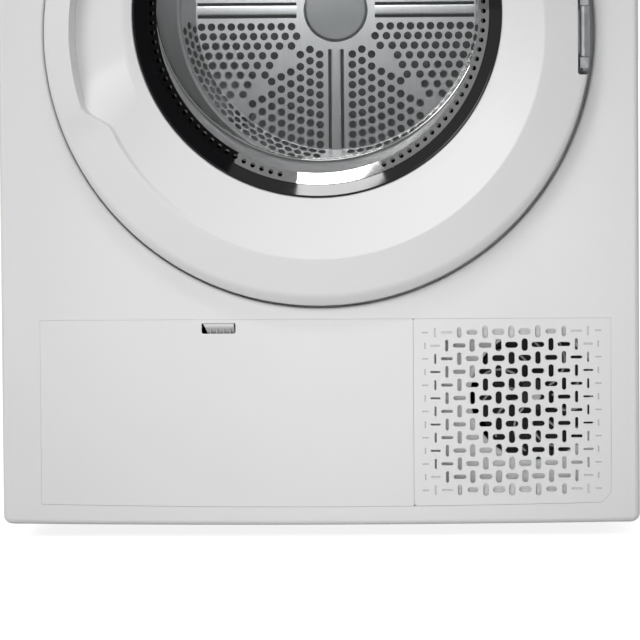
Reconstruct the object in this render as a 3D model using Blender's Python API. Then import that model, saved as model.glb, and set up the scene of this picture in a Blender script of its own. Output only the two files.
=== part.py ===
"""Freestanding condenser tumble dryer, as an assembly of separate pieces.

Metres, +Z up, front towards -Y, +X to the right of someone facing the front.
The origin is on the floor, under the middle of the cabinet's box.
"""
import math

import bmesh
import bpy
from mathutils import Vector

# ---------------------------------------------------------------- driving dimensions
GAP = 0.0003                    # running and resting clearance between touching pieces
WIDTH = 0.595
HALF = WIDTH / 2
HEIGHT = 0.850
FRONT_Y = -0.290                # face of the front panel
RIM_Y = -0.270                  # rear edge of the front panels' folded rims
REAR_Y = 0.300                  # face of the rear panel
COVER_Y = 0.320                 # face of the rear duct cover
SHEET = 0.001                   # cabinet sheet steel
PANEL = 0.002                   # front panel and fascia wall

FLOOR_GAP = 0.012               # height of the cabinet's lower edge
SIDE_TOP = 0.835
PANEL_TOP = 0.735
FASCIA_LOW = 0.7355
FASCIA_HIGH = 0.8345
EDGE_RADIUS = 0.005             # rounding of the front panels' edges
PANEL_CORNER = 0.008
LOWER_RISE = 0.0022             # how far the panel's lower edge rises towards its ends
SEAM_RISE = 0.0045              # the same for the lower seam of flap and grille

DOOR_Z = 0.4712                 # height of the door's centre
DOOR_R = 0.2546
DOOR_GAP = 0.0029
RIDGE_LIFT = 0.002
RIDGE_R = 0.211
RIDGE_Y = -0.320
DOOR_EDGE_Y = -0.3075           # front of the door's outer wall
DOOR_BACK_Y = -0.276
WINDOW_Z = 0.4899               # height of the window's centre
WINDOW_R = 0.1717
WINDOW_Y = -0.3015
DOOR_WALL = 0.0025
GRIP_REACH = 0.018              # how far the finger recess cuts into the outer band
GRIP_DEPTH = 0.0195
RECESS_Y = -0.269               # floor of the round recess behind the door
HINGE_X = 0.2475
HINGE_Y = -0.302
NOTCH_X = 0.2415
NOTCH_HALF = 0.040

DRUM_Z = 0.4899
DRUM_R = 0.280
DRUM_FRONT = -0.240
DRUM_BACK = 0.2115
MOUTH_R = 0.190                 # loading throat
BULKHEAD_Y = -0.2667            # front face of the front bulkhead
REAR_WALL_Y = 0.2165            # front face of the rear bulkhead
BELT_Y = (-0.100, -0.090)

MOTOR_X = 0.200
MOTOR_Z = 0.130
SHAFT_R = 0.006
PULLEY_R = 0.0125
ROLLER_R = 0.018
ROLLER_ANGLE = math.radians(35)
IDLER_PIVOT = (0.110, 0.060)
IDLER_CENTRE = (0.0842, 0.1411)
IDLER_R = 0.014

FLAP_LEFT = -0.2613
FLAP_RIGHT = 0.0872
FLAP_LOW = 0.0292
FLAP_HIGH = 0.2047
FLAP_PIVOT = (-0.2875, 0.0355)  # y and z of the flap's hinge axis
SIDE_LIFT = 0.0085                # the side panels end above the front panel's round corners
FRONT_FOOT_Y = -0.128           # far enough back to be hidden by the front panel
REAR_FOOT_Y = 0.255
FLAP_PIN_R = 0.0012
FLAP_BORE_R = 0.0016
FLAP_BEARING_Y = (-0.2885, -0.2840)
FLAP_BEARING_Z = (0.0332, 0.0385)
KICK_RIGHT = 0.2713             # right edge of the vent grille
GRILLE_X = 0.1788
GRILLE_TOP_ROW = 0.1922
ROW_PITCH = 0.01228
COLUMN_PITCH = 0.01225
OUTER_SQUEEZE = 0.00515         # how far the outermost column is drawn in
SLOT_LENGTH = 0.0116
SLOT_THICKNESS = (0.0056, 0.0056, 0.00465, 0.00465, 0.0038, 0.0026)

TANK_X = (-0.2830, -0.0870)
TANK_Y = (-0.2717, 0.1080)
TANK_Z = (0.7625, 0.8200)

ROUND = 40                      # sides of the large turned pieces
MEDIUM = 24
SMALL = 12

# ---------------------------------------------------------------- looks
# name: colour, roughness, metallic
LOOKS = {
    "white_enamel": ((0.84, 0.85, 0.85), 0.35, 0.0),
    "white_plastic": ((0.86, 0.87, 0.87), 0.38, 0.0),
    "grey_plastic": ((0.55, 0.56, 0.57), 0.50, 0.0),
    "dark_plastic": ((0.05, 0.05, 0.055), 0.45, 0.0),
    "glass": ((0.35, 0.37, 0.38), 0.05, 0.0),
    "steel": ((0.62, 0.62, 0.61), 0.30, 1.0),
    "galvanised": ((0.55, 0.57, 0.58), 0.45, 0.9),
    "aluminium": ((0.70, 0.71, 0.72), 0.40, 1.0),
    "rubber": ((0.10, 0.10, 0.11), 0.75, 0.0),
    "felt": ((0.48, 0.46, 0.42), 0.95, 0.0),
    "tank_plastic": ((0.78, 0.82, 0.84), 0.30, 0.0),
    "board": ((0.05, 0.25, 0.12), 0.50, 0.0),
}


def material_for(name, look):
    """A Principled material of the piece's own, with the values of one of the LOOKS."""
    color, roughness, metallic = LOOKS[look]
    material = bpy.data.materials.new(name)
    material.use_nodes = True
    shader = material.node_tree.nodes["Principled BSDF"]
    shader.inputs["Base Color"].default_value = (*color, 1.0)
    shader.inputs["Roughness"].default_value = roughness
    shader.inputs["Metallic"].default_value = metallic
    material.diffuse_color = (*color, 1.0)
    return material


# ---------------------------------------------------------------- modelling helpers
def place(axis, u, v, along):
    """A point of a section square to axis, at the distance along it."""
    return {"X": (along, u, v), "Y": (u, along, v), "Z": (u, v, along)}[axis]


def add_piece(name, mesh_data, look, origin=(0.0, 0.0, 0.0)):
    """Name a shape drawn in world metres and give it its origin and material."""
    bmesh.ops.remove_doubles(mesh_data, verts=mesh_data.verts, dist=1e-6)
    bmesh.ops.recalc_face_normals(mesh_data, faces=mesh_data.faces)
    bmesh.ops.translate(mesh_data, verts=mesh_data.verts, vec=-Vector(origin))
    mesh = bpy.data.meshes.new(name)
    mesh_data.to_mesh(mesh)
    mesh_data.free()
    mesh.shade_smooth()
    mesh.set_sharp_from_angle(angle=math.radians(35))
    mesh.materials.append(material_for(name, look))
    piece = bpy.data.objects.new(name, mesh)
    bpy.context.scene.collection.objects.link(piece)
    piece.location = origin
    return piece


def add_helper(name, mesh_data, origin=(0.0, 0.0, 0.0)):
    """A cutter or an added lump: shown as a wire and left out of the render."""
    helper = add_piece(name, mesh_data, "steel", origin)
    helper.hide_render = True
    helper.display_type = "WIRE"
    return helper


def combine(piece, helper, operation):
    """Cut the helper from the piece, or weld it on."""
    modifier = piece.modifiers.new(helper.name, "BOOLEAN")
    modifier.operation = operation
    modifier.solver = "EXACT"
    modifier.object = helper


def cut(piece, *helpers):
    for helper in helpers:
        combine(piece, helper, "DIFFERENCE")


def weld(piece, *helpers):
    for helper in helpers:
        combine(piece, helper, "UNION")


def box(xs, ys, zs):
    """A block between the pairs of coordinates."""
    shape = bmesh.new()
    bmesh.ops.create_cube(shape, size=1.0)
    size = Vector((xs[1] - xs[0], ys[1] - ys[0], zs[1] - zs[0]))
    middle = Vector((xs[0] + xs[1], ys[0] + ys[1], zs[0] + zs[1])) / 2
    bmesh.ops.scale(shape, verts=shape.verts, vec=size)
    bmesh.ops.translate(shape, verts=shape.verts, vec=middle)
    return shape


def open_box(xs, ys, zs, wall, floor):
    """A tray, open at the top."""
    shape = box(xs, ys, zs)
    lid = max(shape.faces, key=lambda face: face.calc_center_median().z)
    bmesh.ops.inset_region(shape, faces=[lid], thickness=wall)
    sunk = bmesh.ops.extrude_discrete_faces(shape, faces=[lid])["faces"][0]
    drop = Vector((0, 0, floor - (zs[1] - zs[0])))
    bmesh.ops.translate(shape, verts=sunk.verts, vec=drop)
    return shape


def closed_edges(shape, points):
    """Vertices at the points, joined in a ring; returns the vertices and edges."""
    verts = [shape.verts.new(point) for point in points]
    edges = [shape.edges.new(pair) for pair in zip(verts, verts[1:] + verts[:1])]
    return verts, edges


def fill(shape, edges):
    """Fill flat rings of edges, leaving the inner rings open; returns the faces."""
    made = bmesh.ops.triangle_fill(shape, use_beauty=True, use_dissolve=False, edges=edges)
    return [item for item in made["geom"] if isinstance(item, bmesh.types.BMFace)]


def prism(axis, start, end, outline, holes=()):
    """A flat outline with holes, extruded along axis from start to end."""
    shape = bmesh.new()
    edges = []
    for loop in (outline, *holes):
        edges += closed_edges(shape, [place(axis, u, v, start) for u, v in loop])[1]
    grown = bmesh.ops.extrude_face_region(shape, geom=fill(shape, edges))["geom"]
    moved = [item for item in grown if isinstance(item, bmesh.types.BMVert)]
    bmesh.ops.translate(shape, verts=moved, vec=Vector(place(axis, 0, 0, end - start)))
    return shape


def turned(axis, centre, profile, steps=MEDIUM):
    """Spin a profile of (radius, along) about an axis through centre, given across it.
    A profile whose ends lie on the axis stays open there; any other is a ring."""
    shape = bmesh.new()
    middle = Vector(place(axis, *centre, 0.0))
    start = [middle + Vector(place(axis, radius, 0.0, along)) for radius, along in profile]
    verts = [shape.verts.new(point) for point in start]
    pairs = list(zip(verts, verts[1:]))
    if profile[0][0] > 0:
        pairs.append((verts[-1], verts[0]))
    edges = [shape.edges.new(pair) for pair in pairs]
    direction = Vector(place(axis, 0, 0, 1))
    bmesh.ops.spin(shape, geom=verts + edges, cent=middle, axis=direction,
                   angle=math.tau, steps=steps, use_merge=True)
    return shape


def rod(axis, centre, radius, start, end, steps=SMALL):
    return turned(axis, centre, [(0, start), (radius, start), (radius, end), (0, end)], steps)


def pipe(axis, centre, inner, outer, start, end, steps=MEDIUM):
    profile = [(outer, start), (outer, end), (inner, end), (inner, start)]
    return turned(axis, centre, profile, steps)


def arc(centre, radius, start, end, steps):
    """Points on an arc in a section, angles in degrees."""
    angles = [math.radians(start + (end - start) * step / steps) for step in range(steps + 1)]
    return [(centre[0] + radius * math.cos(a), centre[1] + radius * math.sin(a)) for a in angles]


def circle(centre, radius, steps):
    return arc(centre, radius, 0, 360, steps)[:-1]


def rectangle(u0, u1, v0, v1):
    return [(u0, v0), (u1, v0), (u1, v1), (u0, v1)]


def sector(centre, inner, outer, start, end, steps):
    """Outline of a part of a ring."""
    return arc(centre, outer, start, end, steps) + arc(centre, inner, end, start, steps)


def rounded(x0, x1, z0, z1, low_radius, high_radius, inset=0.0, rise=0.0):
    """Outline of a front panel, whose lower edge rises towards its ends by rise."""
    left, right, low, high = x0 + inset, x1 - inset, z0 + inset, z1 - inset
    bottom = max(low_radius - inset, 0.0005)
    top = max(high_radius - inset, 0.0005)
    points = arc((right - bottom, low + bottom), bottom, -90, 0, 4)
    points += arc((right - top, high - top), top, 0, 90, 4)
    points += arc((left + top, high - top), top, 90, 180, 4)
    points += arc((left + bottom, low + bottom), bottom, 180, 270, 4)
    lower_steps = 10
    span = right - left - 2 * bottom
    points += [(left + bottom + span * step / lower_steps, low) for step in range(1, lower_steps)]
    middle = (low + high) / 2
    return [(x, z + rise * (x / HALF) ** 2) if z < middle else (x, z) for x, z in points]


def bridge(shape, rows, closed=False):
    """Join rows of as many points each with quads; returns each row's edges."""
    made = [closed_edges(shape, row) for row in rows]
    pairs = list(zip(made, made[1:]))
    if closed:
        pairs.append((made[-1], made[0]))
    for (one, _), (other, _) in pairs:
        for index in range(len(one)):
            after = (index + 1) % len(one)
            shape.faces.new((one[index], one[after], other[after], other[index]))
    return [edges for _, edges in made]


def at_y(points, y):
    return [(x, y, z) for x, z in points]


def pan(outline_at, face_y, rim_y, edge_radius, holes=()):
    """A panel with a rounded edge and a rim folded back from face_y to rim_y.
    outline_at(inset) is its outline; each hole is rows of points from front to back."""
    shape = bmesh.new()
    back = math.copysign(1.0, rim_y - face_y)
    rows = []
    for degrees in (0, 30, 60, 90):
        a = math.radians(degrees)
        inset = edge_radius * (1 - math.sin(a))
        rows.append(at_y(outline_at(inset), face_y + back * edge_radius * (1 - math.cos(a))))
    rows.append(at_y(outline_at(0.0), rim_y))
    rows.append(at_y(outline_at(PANEL), rim_y))
    rows.append(at_y(outline_at(PANEL), face_y + back * edge_radius))
    rows.append(at_y(outline_at(edge_radius), face_y + back * PANEL))
    edges = bridge(shape, rows)
    front, rear = list(edges[0]), list(edges[-1])
    for hole in holes:
        hole_edges = bridge(shape, hole)
        front += hole_edges[0]
        rear += hole_edges[-1]
    fill(shape, front)
    fill(shape, rear)
    return shape


def through(outline, face_y=FRONT_Y):
    """A plain hole through a pan's face."""
    return [at_y(outline, face_y), at_y(outline, face_y + PANEL)]


# ---------------------------------------------------------------- cabinet
def make_base_tray():
    shape = open_box((-0.2895, 0.2895), (-0.2665, 0.2960), (FLOOR_GAP, 0.036), 0.003, 0.004)
    add_piece("base_tray", shape, "grey_plastic")


def make_side_panel(name, side):
    """Sheet with a folded flange at its front and rear edge."""
    outer, inner, lip = side * HALF, side * (HALF - SHEET), side * 0.285
    front, rear = RIM_Y + GAP, REAR_Y - 0.0018
    outline = [(outer, front), (outer, rear), (lip, rear), (lip, rear - SHEET),
               (inner, rear - SHEET), (inner, front + SHEET), (lip, front + SHEET), (lip, front)]
    add_piece(name, prism("Z", FLOOR_GAP + SIDE_LIFT, SIDE_TOP, outline), "white_enamel")


def make_rear_panel():
    vents = [rectangle(-0.20, -0.12, z, z + 0.004) for z in (0.735, 0.747, 0.759, 0.771, 0.783)]
    vents += [rectangle(0.12, 0.20, vents[row][0][1], vents[row][2][1]) for row in range(5)]
    outline = rectangle(-0.297, 0.297, FLOOR_GAP + 0.0005, SIDE_TOP)
    add_piece("rear_panel", prism("Y", REAR_Y - 0.0015, REAR_Y, outline, vents), "galvanised")


def make_rear_duct_cover():
    def outline_at(inset):
        return rounded(-0.19, 0.19, 0.09, 0.69, 0.09, 0.09, inset)
    add_piece("rear_duct_cover", pan(outline_at, COVER_Y, REAR_Y + GAP, 0.006), "galvanised")


def make_worktop():
    worktop = add_piece("worktop", box((-HALF, HALF), (FRONT_Y, REAR_Y), (SIDE_TOP + GAP, HEIGHT)),
                        "white_plastic")
    bevel = worktop.modifiers.new("soft_edges", "BEVEL")
    bevel.width = 0.0025
    bevel.segments = 2


def make_front_panel():
    """Front panel with the round recess for the door and the opening of the flap and grille."""
    def outline_at(inset):
        return rounded(-HALF, HALF, FLOOR_GAP, PANEL_TOP, PANEL_CORNER, 0.0015, inset, LOWER_RISE)
    opening_r = DOOR_R + DOOR_GAP
    wide = circle((0.0, DOOR_Z), opening_r, ROUND)
    behind = circle((0.0, DOOR_Z), opening_r + PANEL, ROUND)
    narrow = circle((0.0, DRUM_Z), 0.2145, ROUND)
    recess = [at_y(wide, FRONT_Y), at_y(wide, RECESS_Y), at_y(narrow, RECESS_Y),
              at_y(narrow, RECESS_Y + PANEL), at_y(behind, RECESS_Y + PANEL),
              at_y(behind, FRONT_Y + PANEL)]
    lower = rounded(FLAP_LEFT - 0.0006, KICK_RIGHT + 0.0006, FLAP_LOW - 0.0012, FLAP_HIGH + 0.0006,
                    0.004, 0.002, 0.0, SEAM_RISE)
    panel = add_piece("front_panel", pan(outline_at, FRONT_Y, RIM_Y, EDGE_RADIUS,
                                         [recess, through(lower)]), "white_enamel")
    cut(panel, latch_slot())
    bearing = box((FLAP_LEFT - 0.0045, FLAP_LEFT - 0.0009), FLAP_BEARING_Y, FLAP_BEARING_Z)
    weld(panel, add_helper("flap_bearing", bearing))
    bore = rod("X", FLAP_PIVOT, FLAP_BORE_R, FLAP_LEFT - 0.0036, FLAP_LEFT + 0.0005)
    cut(panel, add_helper("flap_bearing_bore", bore))


def latch_slot():
    """Cutter for the hole through which the door's hook reaches its lock."""
    name = "latch_slot"
    if name in bpy.data.objects:
        return bpy.data.objects[name]
    shape = box((-0.243, -0.227), (-0.2720, -0.2610), (DOOR_Z - 0.009, DOOR_Z + 0.009))
    return add_helper(name, shape)


def slot_outlines():
    """The grille's open slots: lying and upright in turn, thinner towards the sides."""
    outlines = []
    for row in range(1, 12):
        for column in range(-5, 6):
            offset = COLUMN_PITCH * abs(column) - OUTER_SQUEEZE * (abs(column) / 7) ** 5
            x = GRILLE_X + math.copysign(offset, column)
            bow = LOWER_RISE * (x ** 2 - GRILLE_X ** 2) / HALF ** 2
            z = GRILLE_TOP_ROW - row * ROW_PITCH + bow
            long, thick = SLOT_LENGTH / 2, SLOT_THICKNESS[abs(column)] / 2
            lying = (row + column) % 2 == 1
            half_x, half_z = (long, thick) if lying else (thick, long)
            outlines.append(rectangle(x - half_x, x + half_x, z - half_z, z + half_z))
    return outlines


def make_vent_grille():
    outline = rounded(FLAP_RIGHT + 0.0008, KICK_RIGHT, FLAP_LOW, FLAP_HIGH, 0.003, 0.0015, 0.0,
                      SEAM_RISE)
    shape = prism("Y", FRONT_Y, FRONT_Y + 0.0025, outline, slot_outlines())
    grille = add_piece("vent_grille", shape, "white_plastic")
    bearing = box((FLAP_RIGHT + 0.0009, FLAP_RIGHT + 0.0045), FLAP_BEARING_Y, FLAP_BEARING_Z)
    weld(grille, add_helper("grille_bearing", bearing))
    bore = rod("X", FLAP_PIVOT, FLAP_BORE_R, FLAP_RIGHT + 0.0003, FLAP_RIGHT + 0.0036)
    cut(grille, add_helper("grille_bearing_bore", bore))


def make_control_panel():
    def outline_at(inset):
        return rounded(-HALF, HALF, FASCIA_LOW, FASCIA_HIGH, 0.0015, 0.006, inset)
    holes = [rectangle(-0.2860, -0.0840, 0.7580, 0.8265), circle((0.020, 0.785), 0.006, SMALL),
             rectangle(0.105, 0.205, 0.770, 0.800), circle((0.250, 0.785), 0.0105, SMALL),
             rectangle(0.1115, 0.1365, 0.7510, 0.7610), rectangle(0.1735, 0.1985, 0.7510, 0.7610)]
    shape = pan(outline_at, FRONT_Y, RIM_Y, EDGE_RADIUS, [through(hole) for hole in holes])
    add_piece("control_panel", shape, "white_plastic")
    lens = box((0.1053, 0.2047), (FRONT_Y - GAP, -0.2883), (0.7703, 0.7997))
    add_piece("display_lens", lens, "dark_plastic")
    board = box((-0.060, 0.270), (-0.2680, -0.2664), (0.7450, 0.8200))
    add_piece("control_board", board, "board")


def make_controls():
    """The knob on its spindle, and the buttons, each with its origin on its axis."""
    profile = [(0, -0.3120), (0.0225, -0.3120), (0.0245, -0.3100), (0.0260, -0.2905),
               (0.0055, -0.2905), (0.0055, -0.2700), (0, -0.2700)]
    add_piece("programme_knob", turned("Y", (0.020, 0.785), profile), "white_plastic",
              (0.020, FRONT_Y, 0.785))
    button = rod("Y", (0.250, 0.785), 0.0100, -0.2935, -0.2800, 24)
    add_piece("start_button", button, "grey_plastic", (0.250, FRONT_Y, 0.785))
    for side, x in (("left", 0.124), ("right", 0.186)):
        shape = box((x - 0.012, x + 0.012), (-0.2925, -0.2800), (0.7515, 0.7605))
        add_piece(f"option_button_{side}", shape, "grey_plastic", (x, FRONT_Y, 0.756))


def make_feet():
    for end, y in (("front", FRONT_FOOT_Y), ("rear", REAR_FOOT_Y)):
        for side, x in (("left", -0.250), ("right", 0.250)):
            profile = [(0, 0), (0.019, 0), (0.021, 0.002), (0.021, 0.0070), (0.008, 0.0090),
                       (0.008, FLOOR_GAP - GAP), (0, FLOOR_GAP - GAP)]
            add_piece(f"foot_{end}_{side}", turned("Z", (x, y), profile, 20), "dark_plastic",
                      (x, y, 0.0))


# ---------------------------------------------------------------- door
def grip_at(degrees):
    """How much of the finger recess is present at an angle round the door, 0 to 1."""
    away = abs((degrees % 360) - 180)
    ramp = min(max((26 - away) / 8, 0.0), 1.0)
    return ramp * ramp * (3 - 2 * ramp)


def lower_chamfer_at(degrees):
    """Width of the rounded outer edge, broad at the bottom of the door."""
    down = max(0.0, math.cos(math.radians(degrees + 90)))
    return 0.0015 + 0.0075 * down ** 1.7


def door_row(centre_z, radius_at, y_at):
    """One ring of points round the door; radius and depth may change with the angle."""
    row = []
    for step in range(ROUND):
        degrees = 360 * step / ROUND
        a = math.radians(degrees)
        r = radius_at(degrees)
        row.append((r * math.cos(a), y_at(degrees), centre_z + r * math.sin(a)))
    return row


def steady(value):
    return lambda degrees: value


def make_door_outer_ring():
    """White moulding: outer wall, sloping outer band, ridge, dished inner band, window edge."""
    ridge_z = DOOR_Z + RIDGE_LIFT

    def ridge_r(degrees):
        return RIDGE_R + GRIP_REACH * grip_at(degrees)

    def dish_y(degrees):
        return RIDGE_Y + 0.0015 + GRIP_DEPTH * grip_at(degrees)

    rows = [
        door_row(DOOR_Z, steady(DOOR_R), steady(DOOR_BACK_Y)),
        door_row(DOOR_Z, steady(DOOR_R), lambda a: DOOR_EDGE_Y + lower_chamfer_at(a)),
        door_row(DOOR_Z, lambda a: DOOR_R - lower_chamfer_at(a), steady(DOOR_EDGE_Y - 0.001)),
        door_row(ridge_z, ridge_r, steady(RIDGE_Y)),
        door_row(ridge_z, lambda a: ridge_r(a) - 0.003, dish_y),
        door_row(WINDOW_Z, steady(WINDOW_R + 0.009), steady(WINDOW_Y - 0.003)),
        door_row(WINDOW_Z, steady(WINDOW_R + 0.0015), steady(WINDOW_Y - 0.0015)),
        door_row(WINDOW_Z, steady(WINDOW_R), steady(WINDOW_Y)),
        door_row(WINDOW_Z, steady(WINDOW_R), steady(WINDOW_Y + DOOR_WALL)),
        door_row(WINDOW_Z, steady(WINDOW_R + 0.009), steady(WINDOW_Y + DOOR_WALL)),
        door_row(ridge_z, lambda a: ridge_r(a) - 0.005, lambda a: dish_y(a) + DOOR_WALL),
        door_row(ridge_z, ridge_r, steady(RIDGE_Y + DOOR_WALL + 0.0003)),
        door_row(DOOR_Z, steady(DOOR_R - 0.010), steady(DOOR_EDGE_Y + 0.0025)),
        door_row(DOOR_Z, steady(DOOR_R - DOOR_WALL), steady(DOOR_EDGE_Y + 0.012)),
        door_row(DOOR_Z, steady(DOOR_R - DOOR_WALL), steady(DOOR_BACK_Y)),
    ]
    shape = bmesh.new()
    bridge(shape, rows, closed=True)
    ring = add_piece("door_outer_ring", shape, "white_plastic", (HINGE_X, HINGE_Y, DOOR_Z))
    cut(ring, hinge_notch())


def hinge_notch():
    name = "hinge_notch"
    if name in bpy.data.objects:
        return bpy.data.objects[name]
    shape = box((NOTCH_X, 0.270), (-0.330, -0.260), (DOOR_Z - NOTCH_HALF, DOOR_Z + NOTCH_HALF))
    return add_helper(name, shape)


def make_door_inner_frame():
    """Inner moulding, which clamps the glass against the outer ring."""
    front, back, lip = -0.2835, -0.2757, -0.2954
    hole_z = WINDOW_Z + 0.001
    rows = [
        door_row(DOOR_Z, steady(0.2500), steady(front)),
        door_row(DOOR_Z, steady(0.2500), steady(back)),
        door_row(hole_z, steady(0.1720), steady(back)),
        door_row(hole_z, steady(0.1720), steady(lip)),
        door_row(hole_z, steady(0.1770), steady(lip)),
        door_row(hole_z, steady(0.1795), steady(front)),
    ]
    shape = bmesh.new()
    bridge(shape, rows, closed=True)
    frame = add_piece("door_inner_frame", shape, "grey_plastic", (HINGE_X, HINGE_Y, DOOR_Z))
    cut(frame, hinge_notch())


def make_door_glass():
    """Bowl of the porthole, with a flange behind the window's edge."""
    bowl_z = 0.504
    flange_y, root_y = -0.2987, -0.2957
    floor = [(0.1510, -0.2250), (0.1440, -0.2180), (0.1000, -0.2150)]
    wall = 0.0035
    rows = [
        door_row(WINDOW_Z, steady(0.1785), steady(flange_y)),
        door_row(WINDOW_Z, steady(0.1650), steady(flange_y)),
    ]
    rows += [door_row(bowl_z, steady(r), steady(y)) for r, y in floor]
    rows.append(door_row(bowl_z, steady(0.0005), steady(-0.2145)))
    rows.append(door_row(bowl_z, steady(0.0005), steady(-0.2110)))
    rows += [door_row(bowl_z, steady(r + 0.7 * wall), steady(y + wall)) for r, y in reversed(floor[1:])]
    rows.append(door_row(bowl_z, steady(floor[0][0] + wall), steady(floor[0][1] + 0.001)))
    rows.append(door_row(WINDOW_Z, steady(0.1680), steady(root_y)))
    rows.append(door_row(WINDOW_Z, steady(0.1785), steady(root_y)))
    shape = bmesh.new()
    edges = bridge(shape, rows[:6])
    outside = bridge(shape, rows[6:])
    for ring_edges in (edges[-1], outside[0]):
        bmesh.ops.contextual_create(shape, geom=ring_edges)
    bmesh.ops.bridge_loops(shape, edges=list(edges[0]) + list(outside[-1]))
    add_piece("door_glass", shape, "glass", (HINGE_X, HINGE_Y, DOOR_Z))


def make_hinge():
    """Bracket with two lugs and the pin on the cabinet; knuckle and leaf on the door."""
    plate = box((0.2180, 0.2530), (RECESS_Y - 0.0023, RECESS_Y - GAP), (DOOR_Z - 0.038, DOOR_Z + 0.038))
    bracket = add_piece("door_hinge_bracket", plate, "galvanised")
    for end, low in (("low", DOOR_Z - 0.034), ("high", DOOR_Z + 0.024)):
        lug = box((HINGE_X - 0.004, HINGE_X + 0.004), (HINGE_Y - 0.0045, RECESS_Y - 0.001),
                  (low, low + 0.010))
        weld(bracket, add_helper(f"hinge_lug_{end}", lug))
    pin = rod("Z", (HINGE_X, HINGE_Y), 0.0025, DOOR_Z - 0.036, DOOR_Z + 0.036)
    weld(bracket, add_helper("hinge_pin", pin))

    half = 0.020
    leaf = box((0.2000, 0.2405), (-0.2870, -0.2838), (DOOR_Z - half, DOOR_Z + half))
    leaf_piece = add_piece("door_hinge_leaf", leaf, "galvanised", (HINGE_X, HINGE_Y, DOOR_Z))
    web = box((0.2385, 0.2438), (-0.3040, -0.2845), (DOOR_Z - half, DOOR_Z + half))
    knuckle = pipe("Z", (HINGE_X, HINGE_Y), 0.0029, 0.0050, DOOR_Z - 0.023, DOOR_Z + 0.023, SMALL)
    weld(leaf_piece, add_helper("hinge_web", web), add_helper("hinge_knuckle", knuckle))


def make_latch():
    """Hook on the back of the door, and the lock that it reaches into."""
    foot, root, tip = -0.2754, -0.2739, -0.2560
    outline = [(-0.244, foot), (-0.226, foot), (-0.226, root), (-0.232, root), (-0.232, tip - 0.005),
               (-0.230, tip - 0.003), (-0.232, tip), (-0.238, tip), (-0.238, root), (-0.244, root)]
    hook = prism("Z", DOOR_Z - 0.005, DOOR_Z + 0.005, outline)
    add_piece("door_latch_hook", hook, "steel", (HINGE_X, HINGE_Y, DOOR_Z))
    case = rectangle(-0.2480, -0.2220, DOOR_Z - 0.018, DOOR_Z + 0.018)
    pocket = rectangle(-0.2430, -0.2270, DOOR_Z - 0.009, DOOR_Z + 0.009)
    add_piece("door_lock", prism("Y", -0.2626, -0.2460, case, [pocket]), "dark_plastic")


# ---------------------------------------------------------------- drum and its supports
def make_front_bulkhead():
    """Sheet behind the front panel, with a stud for each support roller."""
    outline = rectangle(-0.284, 0.284, 0.213, 0.734)
    mouth = circle((0.0, DRUM_Z), 0.1985, ROUND)
    slot = rectangle(-0.243, -0.227, DOOR_Z - 0.009, DOOR_Z + 0.009)
    shape = prism("Y", BULKHEAD_Y, BULKHEAD_Y + 0.0015, outline, [mouth, slot])
    bulkhead = add_piece("front_bulkhead", shape, "galvanised")
    for side, sign in (("left", -1), ("right", 1)):
        stud = rod("Y", roller_centre(sign), 0.004, BULKHEAD_Y + 0.0005, -0.198)
        weld(bulkhead, add_helper(f"roller_stud_{side}", stud))


def roller_centre(side):
    reach = DRUM_R + 0.0005 + ROLLER_R
    return side * reach * math.sin(ROLLER_ANGLE), DRUM_Z - reach * math.cos(ROLLER_ANGLE)


def make_drum_supports():
    """Loading throat and bearing collar for the drum's rim, felt, door seal and rollers."""
    plate = BULKHEAD_Y + 0.0018
    back = plate + 0.002
    profile = [(MOUTH_R, plate), (0.2660, plate), (0.2660, back), (0.2645, back),
               (0.2645, -0.2290), (0.2620, -0.2290), (0.2620, back), (0.1925, back),
               (0.1925, -0.2360), (MOUTH_R, -0.2360)]
    ring = add_piece("drum_support_ring", turned("Y", (0.0, DRUM_Z), profile, 32), "grey_plastic")
    filter_slot = box((-0.062, 0.062), (-0.2600, -0.2420), (DRUM_Z - 0.2000, DRUM_Z - 0.1750))
    cut(ring, latch_slot(), add_helper("filter_slot", filter_slot))
    felt = pipe("Y", (0.0, DRUM_Z), 0.2648, 0.2666, -0.2398, -0.2292, 32)
    add_piece("front_felt_seal", felt, "felt")
    seal_back = BULKHEAD_Y - GAP
    profile = [(0.1990, seal_back), (0.2010, -0.2735), (0.2060, -0.2754), (0.2110, -0.2735),
               (0.2135, seal_back)]
    add_piece("door_seal", turned("Y", (0.0, DRUM_Z), profile, 32), "rubber")
    for side, sign in (("left", -1), ("right", 1)):
        x, z = roller_centre(sign)
        shape = pipe("Y", (x, z), 0.0044, ROLLER_R, -0.2250, -0.2050, 20)
        add_piece(f"support_roller_{side}", shape, "rubber", (x, -0.2150, z))


def make_lint_filter():
    """Cassette in the lower part of the throat; its grip shows in the slot."""
    low, high = DRUM_Z - 0.252, DRUM_Z - 0.196
    cassette = box((-0.058, 0.058), (-0.2590, -0.2430), (low, high))
    piece = add_piece("lint_filter", cassette, "grey_plastic")
    grip = box((-0.040, 0.040), (-0.2540, -0.2480), (high - 0.001, DRUM_Z - 0.182))
    weld(piece, add_helper("filter_grip", grip))


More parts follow.
